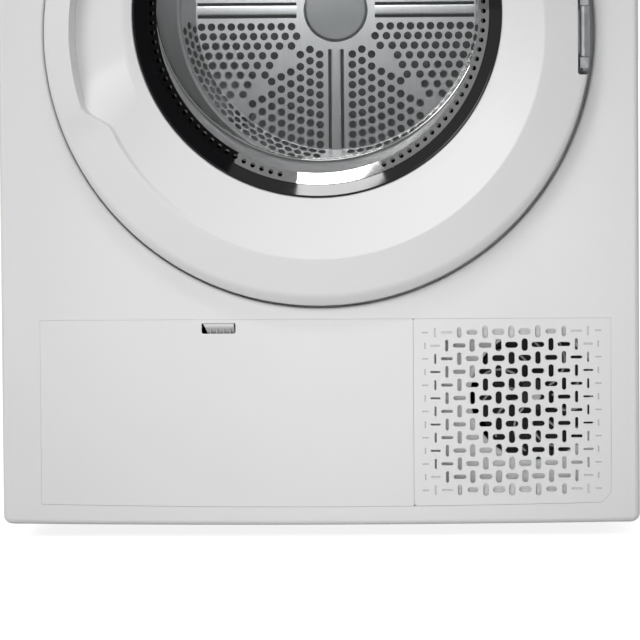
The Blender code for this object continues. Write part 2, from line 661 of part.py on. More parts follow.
def make_drum():
    axis = (0.0, DRUM_Z)
    pivot = (0.0, 0.0, DRUM_Z)
    inner = DRUM_R - SHEET
    profile = [(DRUM_R, DRUM_FRONT), (DRUM_R, DRUM_BACK), (inner, DRUM_BACK),
               (inner, DRUM_FRONT + SHEET), (0.2680, DRUM_FRONT + SHEET), (0.2680, DRUM_FRONT)]
    add_piece("drum_shell", turned("Y", axis, profile, ROUND), "steel", pivot)

    holes = []
    for ring_r, count in ((0.060, 6), (0.115, 10), (0.170, 14)):
        for index in range(count):
            a = math.tau * (index + 0.5) / count
            centre = (ring_r * math.cos(a), DRUM_Z + ring_r * math.sin(a))
            holes.append(circle(centre, 0.009, 6))
    wall = prism("Y", 0.2085, 0.2100, circle(axis, inner - GAP, ROUND), holes)
    rear = add_piece("drum_rear_wall", wall, "steel", pivot)
    weld(rear, add_helper("drum_shaft", rod("Y", axis, 0.010, 0.2090, 0.2420, 24), pivot))

    base, crest = inner - 0.0025, inner - 0.0425
    section = [(-0.025, -base), (0.025, -base), (0.008, -crest), (-0.008, -crest)]
    for index in range(3):
        a = math.tau * index / 3
        turned_section = [(x * math.cos(a) - z * math.sin(a), DRUM_Z + x * math.sin(a) + z * math.cos(a))
                          for x, z in section]
        lifter = prism("Y", -0.180, 0.200, turned_section)
        add_piece(f"drum_lifter_{index + 1}", lifter, "grey_plastic", pivot)


def make_rear_supports():
    outline = rectangle(-0.284, 0.284, 0.0365, 0.759)
    holes = [circle((0.0, DRUM_Z), 0.012, SMALL), circle((MOTOR_X, MOTOR_Z), 0.060, 24)]
    holes += [sector((0.0, DRUM_Z), 0.110, 0.180, start, start + 30, 5) for start in range(195, 330, 36)]
    shape = prism("Y", REAR_WALL_Y, REAR_WALL_Y + 0.0015, outline, holes)
    add_piece("rear_bulkhead", shape, "galvanised")
    face = REAR_WALL_Y + 0.0018
    profile = [(0.0103, face), (0.050, face), (0.050, face + 0.003), (0.024, face + 0.005),
               (0.024, 0.2400), (0.0103, 0.2400)]
    add_piece("rear_bearing", turned("Y", (0.0, DRUM_Z), profile, 24), "aluminium")
    heater = sector((0.0, DRUM_Z), 0.100, 0.190, 192, 348, 14)
    add_piece("heater", prism("Y", 0.2250, 0.2700, heater,
                              [sector((0.0, DRUM_Z), 0.110, 0.180, 195, 345, 14)]), "galvanised")


# ---------------------------------------------------------------- drive
def fan_outline(hub, tip, blades):
    """Hub with straight blades that lean a little."""
    points = []
    for index in range(blades):
        a = math.degrees(math.tau * index / blades)
        points += arc((MOTOR_X, MOTOR_Z), hub, a - 6, a + 6, 1)[:1]
        points += arc((MOTOR_X, MOTOR_Z), tip, a + 12, a + 16, 1)
        points += arc((MOTOR_X, MOTOR_Z), hub, a + 8, a + 360 / blades - 12, 2)
    return points


def make_motor():
    """Motor body on its cast foot, with a lug for the idler arm's pivot."""
    centre = (MOTOR_X, MOTOR_Z)
    motor = add_piece("motor", pipe("Y", centre, SHAFT_R + 0.0004, 0.052, -0.060, 0.070, 32),
                      "aluminium")
    base = FLOOR_GAP + 0.004 + GAP
    foot = box((0.155, 0.245), (-0.060, 0.060), (base, 0.095))
    lug = box((0.102, 0.160), (-0.0790, -0.0590), (base, 0.068))
    pin = rod("Y", IDLER_PIVOT, 0.003, -0.0850, -0.0700)
    cut(motor, add_helper("foot_relief", box((0.170, 0.230), (-0.070, 0.070), (0.010, 0.060))))
    weld(motor, add_helper("motor_foot", foot), add_helper("idler_lug", lug),
         add_helper("idler_pin", pin))
    bore = rod("Y", centre, SHAFT_R + 0.0004, -0.070, 0.080, 32)
    cut(motor, add_helper("motor_bore", bore))

    profile = [(0, -0.2520), (SHAFT_R, -0.2520), (SHAFT_R, -0.1050), (PULLEY_R, -0.1050),
               (PULLEY_R, -0.0850), (SHAFT_R, -0.0850), (SHAFT_R, 0.2600), (0, 0.2600)]
    pivot = (MOTOR_X, 0.0, MOTOR_Z)
    add_piece("motor_shaft", turned("Y", centre, profile, 24), "steel", pivot)
    bore_outline = circle(centre, SHAFT_R + 0.0004, 24)
    for name, hub, tip, start, end in (("cooling_fan", 0.018, 0.055, -0.2500, -0.2250),
                                       ("process_fan", 0.022, 0.058, 0.2260, 0.2560)):
        shape = prism("Y", start, end, fan_outline(hub, tip, 9), [bore_outline])
        add_piece(name, shape, "dark_plastic", pivot)

    outline = rectangle(0.0930, 0.2880, 0.0400, 0.2035)
    inlet = circle(centre, 0.060, 24)
    add_piece("fan_duct_front", prism("Y", -0.2580, -0.2550, outline, [inlet]), "grey_plastic")


def tangent_loop(first, first_r, second, second_r, steps):
    """Outline round two circles, such as a belt's inner or outer line."""
    span = Vector(second) - Vector(first)
    facing = math.degrees(math.atan2(span.y, span.x))
    spread = math.degrees(math.acos((first_r - second_r) / span.length))
    loop = arc(first, first_r, facing + spread, facing + 360 - spread, steps)
    return loop + arc(second, second_r, facing - spread, facing + spread, steps // 4)


def make_belt_drive():
    drum, motor = (0.0, DRUM_Z), (MOTOR_X, MOTOR_Z)
    clear, thick = 0.0010, 0.0020
    inner = tangent_loop(drum, DRUM_R + clear, motor, PULLEY_R + clear, 44)
    outer = tangent_loop(drum, DRUM_R + clear + thick, motor, PULLEY_R + clear + thick, 44)
    add_piece("drum_belt", prism("Y", *BELT_Y, outer, [inner]), "rubber")

    angle = math.degrees(math.atan2(IDLER_CENTRE[1] - IDLER_PIVOT[1], IDLER_CENTRE[0] - IDLER_PIVOT[0]))
    outline = arc(IDLER_PIVOT, 0.008, angle + 90, angle + 270, 6)
    outline += arc(IDLER_CENTRE, 0.007, angle - 90, angle + 90, 6)
    pivot = (IDLER_PIVOT[0], -0.0815, IDLER_PIVOT[1])
    arm = add_piece("idler_arm", prism("Y", -0.0832, -0.0794, outline,
                                       [circle(IDLER_PIVOT, 0.0034, 12)]), "galvanised", pivot)
    axle = rod("Y", IDLER_CENTRE, 0.003, -0.1060, -0.0810)
    weld(arm, add_helper("idler_axle", axle))
    pulley = pipe("Y", IDLER_CENTRE, 0.0034, IDLER_R, -0.1045, -0.0845, 20)
    add_piece("idler_pulley", pulley, "grey_plastic", (IDLER_CENTRE[0], -0.0945, IDLER_CENTRE[1]))


# ---------------------------------------------------------------- condenser, flap, water
def make_condenser():
    """Finned block with air passages from front to back, and its two turning locks."""
    left, right, low, high = -0.245, 0.015, 0.040, 0.170
    columns, rows, wall = 8, 3, 0.0016
    cell_x = (right - left - wall) / columns
    cell_z = (high - low - wall) / rows
    cells = []
    for column in range(columns):
        for row in range(rows):
            x, z = left + wall + column * cell_x, low + wall + row * cell_z
            cells.append(rectangle(x, x + cell_x - wall, z, z + cell_z - wall))
    shape = prism("Y", -0.2500, 0.1500, rectangle(left, right, low, high), cells)
    add_piece("condenser", shape, "aluminium")
    for side, x in (("left", left + 0.020), ("right", right - 0.020)):
        z = (low + high) / 2
        outline = arc((x, z - 0.020), 0.007, 180, 360, 6) + arc((x, z + 0.020), 0.007, 0, 180, 6)
        lock = prism("Y", -0.2563, -0.2503, outline)
        add_piece(f"condenser_lock_{side}", lock, "dark_plastic", (x, -0.2533, z))


def make_flap():
    """Flap over the condenser: rounded edges, hinge pins, finger slot with its latch."""
    def outline_at(inset):
        return rounded(FLAP_LEFT, FLAP_RIGHT, FLAP_LOW, FLAP_HIGH, 0.003, 0.0015, inset, SEAM_RISE)
    slot = rounded(-0.1100, -0.0785, 0.1917, 0.2022, 0.0015, 0.0015)
    pivot = (0.0, *FLAP_PIVOT)
    flap = add_piece("flap", pan(outline_at, FRONT_Y, -0.2862, 0.0026, [through(slot)]),
                     "white_plastic", pivot)
    for side, edge, outwards in (("left", FLAP_LEFT, -1), ("right", FLAP_RIGHT, 1)):
        boss_x = sorted((edge - outwards * 0.0010, edge - outwards * 0.0045))
        boss = box(boss_x, (-0.2888, -0.2850), (0.0345, 0.0390))
        pin_x = sorted((edge - outwards * 0.0035, edge + outwards * 0.0028))
        pin = rod("X", FLAP_PIVOT, FLAP_PIN_R, *pin_x)
        weld(flap, add_helper(f"hinge_boss_{side}", boss, pivot),
             add_helper(f"hinge_pin_{side}", pin, pivot))
    left, right, face = -0.1110, -0.0775, -0.2877
    section = [(left - 0.003, face), (left, face), (left, -0.2830), (right, -0.2830), (right, face),
               (right + 0.003, face), (right + 0.003, -0.2800), (left - 0.003, -0.2800)]
    add_piece("flap_latch", prism("Z", 0.1860, 0.2015, section), "grey_plastic",
              ((left + right) / 2, face, 0.1940))


def make_water_system():
    front = prism("Y", FRONT_Y, -0.2720, rounded(-0.2855, -0.0845, 0.7585, 0.8260, 0.002, 0.002),
                  [rounded(-0.235, -0.135, 0.7640, 0.7840, 0.004, 0.004)])
    add_piece("tank_front", front, "white_plastic", (-0.185, FRONT_Y, 0.7923))
    tank = open_box(TANK_X, TANK_Y, TANK_Z, 0.0025, 0.0025)
    add_piece("water_tank", tank, "tank_plastic", (-0.185, FRONT_Y, 0.7923))
    low = TANK_Z[0] - GAP
    left, right = TANK_X[0] - GAP, TANK_X[1] + GAP
    wall = 0.0015
    section = [(left - wall, low - 0.0025), (right + wall, low - 0.0025), (right + wall, 0.775),
               (right, 0.775), (right, low), (left, low), (left, 0.775), (left - wall, 0.775)]
    add_piece("tank_guide", prism("Y", -0.2640, 0.2180, section), "grey_plastic")

    profile = [(0, 0.0163), (0.024, 0.0163), (0.024, 0.045), (0.015, 0.050), (0.008, 0.052),
               (0.008, 0.0605), (0, 0.0605)]
    add_piece("drain_pump", turned("Z", (-0.200, 0.2460), profile, 20), "dark_plastic")

    route = [(-0.200, 0.2460, 0.0610), (-0.202, 0.2460, 0.100), (-0.250, 0.2480, 0.200),
             (-0.255, 0.2480, 0.560), (-0.250, 0.2480, 0.740), (-0.235, 0.2300, 0.790),
             (-0.205, 0.1800, 0.798), (-0.190, 0.1200, 0.798)]
    curve = bpy.data.curves.new("tank_hose", "CURVE")
    curve.dimensions = "3D"
    curve.bevel_depth = 0.006
    curve.bevel_resolution = 1
    curve.use_fill_caps = True
    spline = curve.splines.new("NURBS")
    spline.points.add(len(route) - 1)
    for point, spot in zip(spline.points, route):
        point.co = (*spot, 1.0)
    spline.order_u = 4
    spline.use_endpoint_u = True
    spline.resolution_u = 3
    curve.materials.append(material_for("tank_hose", "rubber"))
    hose = bpy.data.objects.new("tank_hose", curve)
    bpy.context.scene.collection.objects.link(hose)


def make_power_inlet():
    """Terminal cover on the rear panel, with the gland for the mains cable."""
    outline = rectangle(0.225, 0.275, REAR_Y + GAP, 0.3165)
    gland = circle((0.250, 0.3085), 0.0045, SMALL)
    add_piece("power_inlet", prism("Z", 0.700, 0.740, outline, [gland]), "dark_plastic")


def build():
    for old in list(bpy.data.objects):
        bpy.data.objects.remove(old, do_unlink=True)
    make_base_tray()
    make_side_panel("left_side_panel", -1)
    make_side_panel("right_side_panel", 1)
    make_rear_panel()
    make_rear_duct_cover()
    make_worktop()
    make_front_panel()
    make_vent_grille()
    make_control_panel()
    make_controls()
    make_feet()
    make_door_outer_ring()
    make_door_inner_frame()
    make_door_glass()
    make_hinge()
    make_latch()
    make_front_bulkhead()
    make_drum_supports()
    make_lint_filter()
    make_drum()
    make_rear_supports()
    make_motor()
    make_belt_drive()
    make_condenser()
    make_flap()
    make_water_system()
    make_power_inlet()


build()
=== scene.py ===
"""Looks of the condenser tumble dryer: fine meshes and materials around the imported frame."""
import math

import bmesh
import bpy
import numpy as np
from mathutils import Matrix, Vector


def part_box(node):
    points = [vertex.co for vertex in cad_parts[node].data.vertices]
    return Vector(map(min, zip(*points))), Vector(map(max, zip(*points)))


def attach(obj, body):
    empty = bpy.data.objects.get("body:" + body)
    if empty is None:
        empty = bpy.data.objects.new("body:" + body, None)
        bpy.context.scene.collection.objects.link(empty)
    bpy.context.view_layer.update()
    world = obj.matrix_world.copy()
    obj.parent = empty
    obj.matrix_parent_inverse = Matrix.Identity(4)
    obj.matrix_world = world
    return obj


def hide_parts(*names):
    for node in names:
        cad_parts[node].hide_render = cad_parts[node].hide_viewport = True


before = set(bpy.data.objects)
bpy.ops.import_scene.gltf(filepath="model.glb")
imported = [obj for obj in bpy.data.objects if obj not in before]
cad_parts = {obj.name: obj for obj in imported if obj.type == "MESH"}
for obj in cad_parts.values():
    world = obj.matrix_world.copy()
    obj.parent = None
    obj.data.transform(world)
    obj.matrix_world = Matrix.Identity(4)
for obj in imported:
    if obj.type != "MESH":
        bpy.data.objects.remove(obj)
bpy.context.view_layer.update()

# ---------------------------------------------------------------- places, read from the frame
PANEL_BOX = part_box("front_panel")
RING_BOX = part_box("door_outer_ring")
GLASS_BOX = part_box("door_glass")
FLAP_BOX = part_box("flap")
GRILLE_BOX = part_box("vent_grille")
DRUM_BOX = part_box("drum_shell")
FACE_Y = PANEL_BOX[0].y
RIM_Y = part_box("control_panel")[1].y
HALF = PANEL_BOX[1].x
DOOR_Z = (RING_BOX[0].z + RING_BOX[1].z) / 2
DOOR_R = (RING_BOX[1].z - RING_BOX[0].z) / 2 - 0.0010
WINDOW_Z = (GLASS_BOX[0].z + GLASS_BOX[1].z) / 2
DRUM_Z = (DRUM_BOX[0].z + DRUM_BOX[1].z) / 2
DRUM_R = (DRUM_BOX[1].z - DRUM_BOX[0].z) / 2
INLET_X = 0.200
INLET_Z = 0.130

# ---------------------------------------------------------------- sizes of the fine shapes
WALL = 0.002
ROUND = 224                     # sides of the door's rings
TURN = 96                       # sides of the smaller turned pieces
SEAM = 0.00008                  # gap beside and above the flap and the grille
LOW_SEAM = 0.00018              # gap below them
LOWER_RISE = 0.0022             # rise of the front panel's lower edge towards its ends
SEAM_RISE = 0.0045              # the same for the seam under flap and grille
DOOR_GAP = 0.0026               # between the door and its opening in the panel
OPENING_X = 0.0008              # the door hangs this much to the left of its opening's centre
RIDGE_LIFT = 0.002              # the ridge between the outer band and the dish sits a little higher
RIDGE_R = 0.211
RIDGE_Y = -0.320
DOOR_EDGE_Y = -0.3075           # front of the door's outer wall
DOOR_BACK_Y = -0.276
WINDOW_R = 0.1717
WINDOW_Y = -0.3015
RECESS_Y = -0.269               # floor of the round recess behind the door
BOWL_Z = 0.5068                 # height of the bowl's back, above the window's centre
STEPS_FRONT_R = 0.1512          # moulded steps between the pierced ring and the bowl's back
STEPS_FRONT_Y = -0.2835
STEPS_BACK_R = 0.1575
STEPS_BACK_Y = -0.2240
GRILLE_X = 0.1788
GRILLE_PLATE = 0.0025           # its thickness
GRILLE_TOP_ROW = 0.1922
ROW_PITCH = 0.01228
COLUMN_PITCH = 0.01225
OUTER_SQUEEZE = 0.00515         # how far the outermost column is drawn in
# sizes of the grille's slots, from the middle column to the outermost
SLOT_THICKNESS = (0.0056, 0.0056, 0.0048, 0.0046, 0.0038, 0.0027, 0.0017, 0.0010)
SLOT_LENGTH = (0.0118, 0.0118, 0.0118, 0.0118, 0.0116, 0.0108, 0.0092, 0.0060)
GRIP_HALF = (25.3, 8.0)         # finger recess: half its angle and the width of its fade, in degrees
GRIP_FLOOR_HALF = (23.5, 13.0)  # the same for its deepest part
BAND_HALF = (66.0, 44.0)        # the same for the low step beside it
BAND_STEP = 0.0022
GRIP_DEPTH = 0.0180
GRIP_REACH = 0.018              # how far the recess reaches into the outer band
CHAMFER = (0.0013, 0.0077, 1.7)     # outer chamfer: least, growth at the bottom, and its power
NOTCH_X = (0.2415, 0.270)       # place of the hinge in the door's edge
NOTCH_HALF = 0.040
NOTCH_SPARE = 0.01              # how far its cutter stands out in front and behind
RING_HOLES = 108                # cells round the pierced ring of the window
PLAIN_CELLS = range(-3, 7)      # its cells without a hole, at the bottom
PANEL_EDGE = 0.005              # rounding of the front panels' edges
LIP_R = (0.2160, 0.2145)        # the drum mouth's rolled lip in the front panel
FLAP_LOW = 0.0292
FLAP_HIGH = 0.2047
FLAP_PIVOT = (-0.2875, 0.0355)
FLAP_CORNER = 0.0007
PIN_REACH = 0.0028              # how far the flap's pins stand out at each side
FLAP_SIDES = (FLAP_BOX[0].x + PIN_REACH, FLAP_BOX[1].x - PIN_REACH)
PIN_R = 0.0012                  # radius of those pins
# openings seen from the front, as x0, x1, z0, z1
FINGER_SLOT = (-0.1100, -0.0785, 0.1916, 0.2013)
TANK_GRIP = (-0.235, -0.135, 0.7640, 0.7840)
LATCH_ENDS = ((-0.1088, 0.0068), (-0.0802, 0.0012))     # x at the top, and lean of that end
LATCH_RIBS = (-0.1019, -0.0961, -0.0896, -0.0838)
LAST_COLUMN = 7
LAST_ROW = 12
FAN_BLADES = 11
SHAFT_HOLE = 0.0064             # radius of the hole for the shaft in a fan's disc
DIAL_R = 0.0325
DIAL_MARKS = 16


# ---------------------------------------------------------------- materials
def new_material(name):
    material = bpy.data.materials.new(name)
    material.use_nodes = True
    tree = material.node_tree
    return material, tree, tree.nodes["Principled BSDF"]


def set_inputs(node, **values):
    """Set a node's own inputs by name, with _ for a space."""
    for key, value in values.items():
        node.inputs[key.replace("_", " ")].default_value = value
    return node


def add_node(tree, kind, **values):
    return set_inputs(tree.nodes.new(kind), **values)


def coordinates(tree, stretch=(1.0, 1.0, 1.0)):
    """Object coordinates in metres, stretched for brushed or drawn grain."""
    source = tree.nodes.new("ShaderNodeTexCoord")
    mapping = add_node(tree, "ShaderNodeMapping", Scale=stretch)
    tree.links.new(source.outputs["Object"], mapping.inputs["Vector"])
    return mapping.outputs["Vector"]


def noise(tree, vector, scale, detail=3.0, roughness=0.5):
    node = add_node(tree, "ShaderNodeTexNoise", Scale=scale, Detail=detail, Roughness=roughness)
    tree.links.new(vector, node.inputs["Vector"])
    return node.outputs["Fac"]


def ramp(tree, factor, low, high, start=0.0, end=1.0):
    """Map a factor between two colours, or between two greys given as numbers."""
    node = tree.nodes.new("ShaderNodeValToRGB")
    for element, place, color in zip(node.color_ramp.elements, (start, end), (low, high)):
        element.position = place
        element.color = (*(color if isinstance(color, tuple) else (color,) * 3), 1.0)
    tree.links.new(factor, node.inputs["Fac"])
    return node.outputs["Color"]


def tones(tree, factor, color, down, up, start=0.3, end=0.7):
    """Tone changes of a colour, from its share down to its share up."""
    low, high = (tuple(min(1.0, channel * share) for channel in color) for share in (down, up))
    return ramp(tree, factor, low, high, start, end)


def finish_shader(tree, shader, tone, gloss, height, strength, distance):
    """Give the shader its colour, its roughness and its bump."""
    node = add_node(tree, "ShaderNodeBump", Strength=strength, Distance=distance)
    tree.links.new(height, node.inputs["Height"])
    for output, socket in ((tone, "Base Color"), (gloss, "Roughness"), (node.outputs["Normal"], "Normal")):
        if output is not None:
            tree.links.new(output, shader.inputs[socket])


def moulded(name, color, roughness=0.4, grain=1400.0, depth=0.00003, spread=0.03, corner_shade=0.30):
    """Moulded plastic or enamel: faint tone changes, fine grain, uneven gloss, painted shade darkening
    corners and recesses.
    """
    material, tree, shader = new_material(name)
    vector = coordinates(tree)
    tone = tones(tree, noise(tree, vector, 7.0, 2.0), color, 1 - spread, 1 + spread)
    # painted shade: ambient occlusion darkens the colour in corners, creases and recesses, by the share given
    # last
    corners = add_node(tree, "ShaderNodeAmbientOcclusion", Distance=0.006)
    corners.samples = 6
    painted_corner_shade = add_node(tree, "ShaderNodeMix", Factor=corner_shade)
    painted_corner_shade.data_type = "RGBA"
    painted_corner_shade.blend_type = "MULTIPLY"
    tree.links.new(tone, painted_corner_shade.inputs[6])
    tree.links.new(corners.outputs["Color"], painted_corner_shade.inputs[7])
    gloss = ramp(tree, noise(tree, vector, 38.0, 4.0), roughness - 0.05, roughness + 0.06)
    finish_shader(tree, shader, painted_corner_shade.outputs[2], gloss, noise(tree, vector, grain, 2.0, 0.6), 0.25, depth)
    return material


def metal(name, color, roughness=0.3, stretch=(6.0, 600.0, 6.0), scale=3.0, spread=0.12, depth=0.00002):
    """Drawn or brushed metal, with streaks along the direction of least stretch."""
    material, tree, shader = new_material(name)
    streaks = noise(tree, coordinates(tree, stretch), scale, 5.0, 0.6)
    set_inputs(shader, Metallic=1.0)
    finish_shader(tree, shader, tones(tree, streaks, color, 1 - spread, 1 + spread),
                  ramp(tree, streaks, roughness - 0.06, roughness + 0.10), streaks, 0.3, depth)
    return material


def polished(name, color):
    """Smooth bright metal with even gloss."""
    material, tree, shader = new_material(name)
    mottle = noise(tree, coordinates(tree, (60.0, 60.0, 60.0)), 3.0, 5.0, 0.6)
    set_inputs(shader, Metallic=1.0, Roughness=0.035)
    finish_shader(tree, shader, tones(tree, mottle, color, 0.95, 1.05), None, mottle, 0.3, 0.000002)
    return material


def galvanised(name, color=(0.56, 0.58, 0.59)):
    """Zinc-coated sheet with its crystal flakes."""
    material, tree, shader = new_material(name)
    flakes = add_node(tree, "ShaderNodeTexVoronoi", Scale=110.0)
    tree.links.new(coordinates(tree), flakes.inputs["Vector"])
    crystals = flakes.outputs["Color"]
    set_inputs(shader, Metallic=0.85)
    finish_shader(tree, shader, tones(tree, crystals, color, 0.82, 1.15, 0.0, 1.0),
                  ramp(tree, crystals, 0.34, 0.52), flakes.outputs["Distance"], 0.15, 0.00003)
    return material


def soft(name, color, roughness=0.85, grain=900.0, depth=0.0001, sheen=0.2):
    """Rubber or felt."""
    material, tree, shader = new_material(name)
    vector = coordinates(tree)
    fibres = noise(tree, vector, grain, 6.0, 0.7)
    set_inputs(shader, Sheen_Weight=sheen)
    finish_shader(tree, shader, tones(tree, fibres, color, 0.7, 1.35, 0.25, 0.75),
                  ramp(tree, noise(tree, vector, 60.0), roughness - 0.1, roughness + 0.1), fibres, 0.5, depth)
    return material


def clear_glass(name):
    """Porthole glass: see-through, faintly smoked and smeared, mirror-like at a slant."""
    material, tree, shader = new_material(name)
    smear = noise(tree, coordinates(tree), 9.0, 4.0, 0.6)
    set_inputs(shader, Base_Color=(0.02, 0.022, 0.024, 1.0))
    tree.links.new(ramp(tree, smear, 0.015, 0.05), shader.inputs["Roughness"])
    through = tree.nodes.new("ShaderNodeBsdfTransparent")
    tree.links.new(ramp(tree, smear, (0.90, 0.915, 0.92), (0.95, 0.96, 0.965)), through.inputs["Color"])
    mirror = add_node(tree, "ShaderNodeBsdfGlossy", Roughness=0.02)
    slant = add_node(tree, "ShaderNodeFresnel", IOR=1.5)
    film = add_node(tree, "ShaderNodeMixShader", Fac=0.05)
    mix = tree.nodes.new("ShaderNodeMixShader")
    for output, socket in ((through.outputs["BSDF"], film.inputs[1]),
                           (shader.outputs["BSDF"], film.inputs[2]),
                           (slant.outputs["Fac"], mix.inputs["Fac"]), (film.outputs["Shader"], mix.inputs[1]),
                           (mirror.outputs["BSDF"], mix.inputs[2]),
                           (mix.outputs["Shader"], tree.nodes["Material Output"].inputs["Surface"])):
        tree.links.new(output, socket)
    return material


def milky(name, color):
    """Half-clear tank moulding."""
    material = moulded(name, color, 0.28, 700.0)
    set_inputs(material.node_tree.nodes["Principled BSDF"], Subsurface_Weight=0.25,
               Subsurface_Radius=(0.01, 0.012, 0.013))
    return material


WHITE = (0.705,) * 3
# the last number given to moulded is the strength of its painted corner shade; strongest on the grille and
# the latch, whose slots and pockets it darkens
MATERIALS = {
    "enamel": moulded("white_enamel", WHITE, 0.36, 900.0, 0.00002, 0.008, 0.08),
    "white": moulded("white_moulding", WHITE, 0.42, 1500.0, 0.00003, 0.008, 0.12),
    "door_white": moulded("door_moulding", (0.700, 0.700, 0.700), 0.40, 1500.0, 0.00003, 0.008, 0.08),
    "grey": moulded("grey_moulding", (0.33, 0.335, 0.34), 0.5, 1200.0),
    "light_grey": moulded("light_grey_moulding", (0.50, 0.505, 0.51), 0.45, 1200.0),
    "dark": moulded("dark_moulding", (0.028, 0.028, 0.030), 0.45, 1200.0, 0.00003, 0.08),
    "bezel": moulded("window_bezel_black", (0.006, 0.006, 0.007), 0.055, 400.0, 0.000002, 0.05),
    "steel": metal("drum_steel", (0.60, 0.60, 0.60), 0.34, (1.0, 160.0, 160.0), 4.0),
    "wall_steel": metal("drum_wall_steel", (0.66, 0.66, 0.66), 0.42, (120.0, 1.0, 1.0), 4.0, 0.05),
    # darker copy of the drum wall's steel: painted shade for the wall's border
    "shaded_border_steel": metal("shaded_border_steel", (0.20, 0.20, 0.20), 0.42, (120.0, 1.0, 1.0), 4.0, 0.05),
    "shaft": metal("turned_steel", (0.58, 0.58, 0.58), 0.25, (1.0, 400.0, 1.0), 3.0),
    "aluminium": metal("cast_aluminium", (0.62, 0.63, 0.64), 0.45, (90.0, 90.0, 90.0), 3.0, 0.10, 0.0001),
    "zinc": galvanised("zinc_sheet"),
    "rubber": soft("black_rubber", (0.035, 0.035, 0.037), 0.70, 1200.0, 0.00004, 0.05),
    "seal": soft("grey_rubber", (0.10, 0.10, 0.105), 0.60, 1200.0, 0.00004, 0.05),
    "felt": soft("pressed_felt", (0.38, 0.36, 0.32), 0.92, 1600.0, 0.0003, 0.6),
    "glass": clear_glass("porthole_glass"),
    "tank": milky("tank_moulding", (0.62, 0.67, 0.70)),
    "board": moulded("green_board", (0.02, 0.16, 0.07), 0.35, 300.0, 0.00005, 0.15),
    "step_glass": moulded("moulded_glass", (0.18, 0.18, 0.183), 0.16, 120.0, 0.00002, 0.10, 0.5),
    "display": moulded("display_black", (0.010, 0.011, 0.013), 0.08, 500.0, 0.000003, 0.1),
    "bead_metal": polished("bead_metal", (0.50, 0.50, 0.50)),
    "worktop": moulded("worktop_white", WHITE, 0.62, 1500.0, 0.00003, 0.01, 0.12),
    "fan_dark": moulded("fan_dark", (0.010, 0.010, 0.010), 0.5, 900.0),
    "ring_metal": polished("ring_metal", (0.38, 0.38, 0.385)),
    "grille_white": moulded("grille_white", WHITE, 0.42, 1500.0, 0.00003, 0.008, 0.85),
    "latch_white": moulded("latch_white", (0.66, 0.66, 0.66), 0.42, 1500.0, 0.00003, 0.02, 0.9),
    "shaded_zinc": galvanised("shaded_zinc", (0.10, 0.105, 0.11)),
    "mark": moulded("grey_marks", (0.16, 0.165, 0.17), 0.5, 900.0),
    "duct": moulded("duct_grey", (0.62, 0.625, 0.63), 0.5, 1200.0),
    "fan": moulded("fan_grey", (0.34, 0.345, 0.35), 0.35, 900.0, 0.00003, 0.08),
}
for look, level in (("step_glass", 0.12), ("worktop", 0.25)):
    set_inputs(MATERIALS[look].node_tree.nodes["Principled BSDF"], Specular_IOR_Level=level)


# ---------------------------------------------------------------- mesh helpers
PIECES = []
SHARP = 32.0
LEAST_R = 0.0002                # smallest radius of an outline's corner


def add_object(name, data):
    thing = bpy.data.objects.new(name, data)
    bpy.context.scene.collection.objects.link(thing)
    return thing


def mesh_of(name, shape):
    mesh = bpy.data.meshes.new(name)
    shape.to_mesh(mesh)
    shape.free()
    return mesh


def shade(mesh, sharp=SHARP):
    """Smooth shading, with a crease wherever the surface turns by more than sharp degrees."""
    mesh.shade_smooth()
    mesh.set_sharp_from_angle(angle=math.radians(sharp))


def finish_piece(name, shape, material, body, replaced=(), sharp=SHARP):
    """Make an object of the shape, drawn in the frame's metres, and hang it on its body."""
    bmesh.ops.remove_doubles(shape, verts=shape.verts, dist=1e-6)
    bmesh.ops.recalc_face_normals(shape, faces=shape.faces)
    mesh = mesh_of(name, shape)
    shade(mesh, sharp)
    mesh.materials.append(MATERIALS[material])
    piece = add_object(name, mesh)
    if replaced:
        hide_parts(*replaced)
    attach(piece, body)
    PIECES.append(piece)
    return piece


def even_normals():
    """Keep broad faces flat in shading where they meet small roundings."""
    for piece in PIECES:
        modifier = piece.modifiers.new("even_normals", "WEIGHTED_NORMAL")
        modifier.mode = "FACE_AREA"
        modifier.keep_sharp = True


def closed_edges(shape, points):
    verts = [shape.verts.new(point) for point in points]
    return verts, [shape.edges.new(pair) for pair in zip(verts, verts[1:] + verts[:1])]


def bridge(shape, rows, closed=False):
    """Join rows of as many points each with quads; returns each row's edges."""
    made = [closed_edges(shape, row) for row in rows]
    pairs = list(zip(made, made[1:]))
    if closed:
        pairs.append((made[-1], made[0]))
    for (one, _), (other, _) in pairs:
        for index in range(len(one)):
            after = (index + 1) % len(one)
            shape.faces.new((one[index], one[after], other[after], other[index]))
    return [edges for _, edges in made]


def fill(shape, edges):
    bmesh.ops.triangle_fill(shape, use_beauty=True, use_dissolve=False, edges=edges)


def fill_ends(shape, *tubes):
    """Close the front and the back of a tube, or of a tube with others inside it."""
    for end in (0, -1):
        fill(shape, [edge for tube in tubes for edge in tube[end]])


def loft(rows):
    """A solid through the rows, closed at both ends."""
    shape = bmesh.new()
    fill_ends(shape, bridge(shape, rows))
    return shape


def pierced_cell(shape, point, middle, reach, hole=None):
    """One square cell of a sheet, at point(u, v), with a round hole of (centre, reach) in it."""
    ways = [(math.cos(math.radians(30 * step + 45)), math.sin(math.radians(30 * step + 45)))
            for step in range(12)]
    border = []
    for u, v in ways:
        scale = 1 / max(abs(u), abs(v))
        place = (middle[0] + reach[0] * u * scale, middle[1] + reach[1] * v * scale)
        border.append(shape.verts.new(point(*place)))
    if hole is None:
        shape.faces.new(border)
        return
    (hole_u, hole_v), (wide, high) = hole
    mouth = [shape.verts.new(point(hole_u + wide * u, hole_v + high * v)) for u, v in ways]
    for step in range(len(ways)):
        after = (step + 1) % len(ways)
        shape.faces.new((border[step], border[after], mouth[after], mouth[step]))


def at_y(points, y):
    return [(x, y, z) for x, z in points]


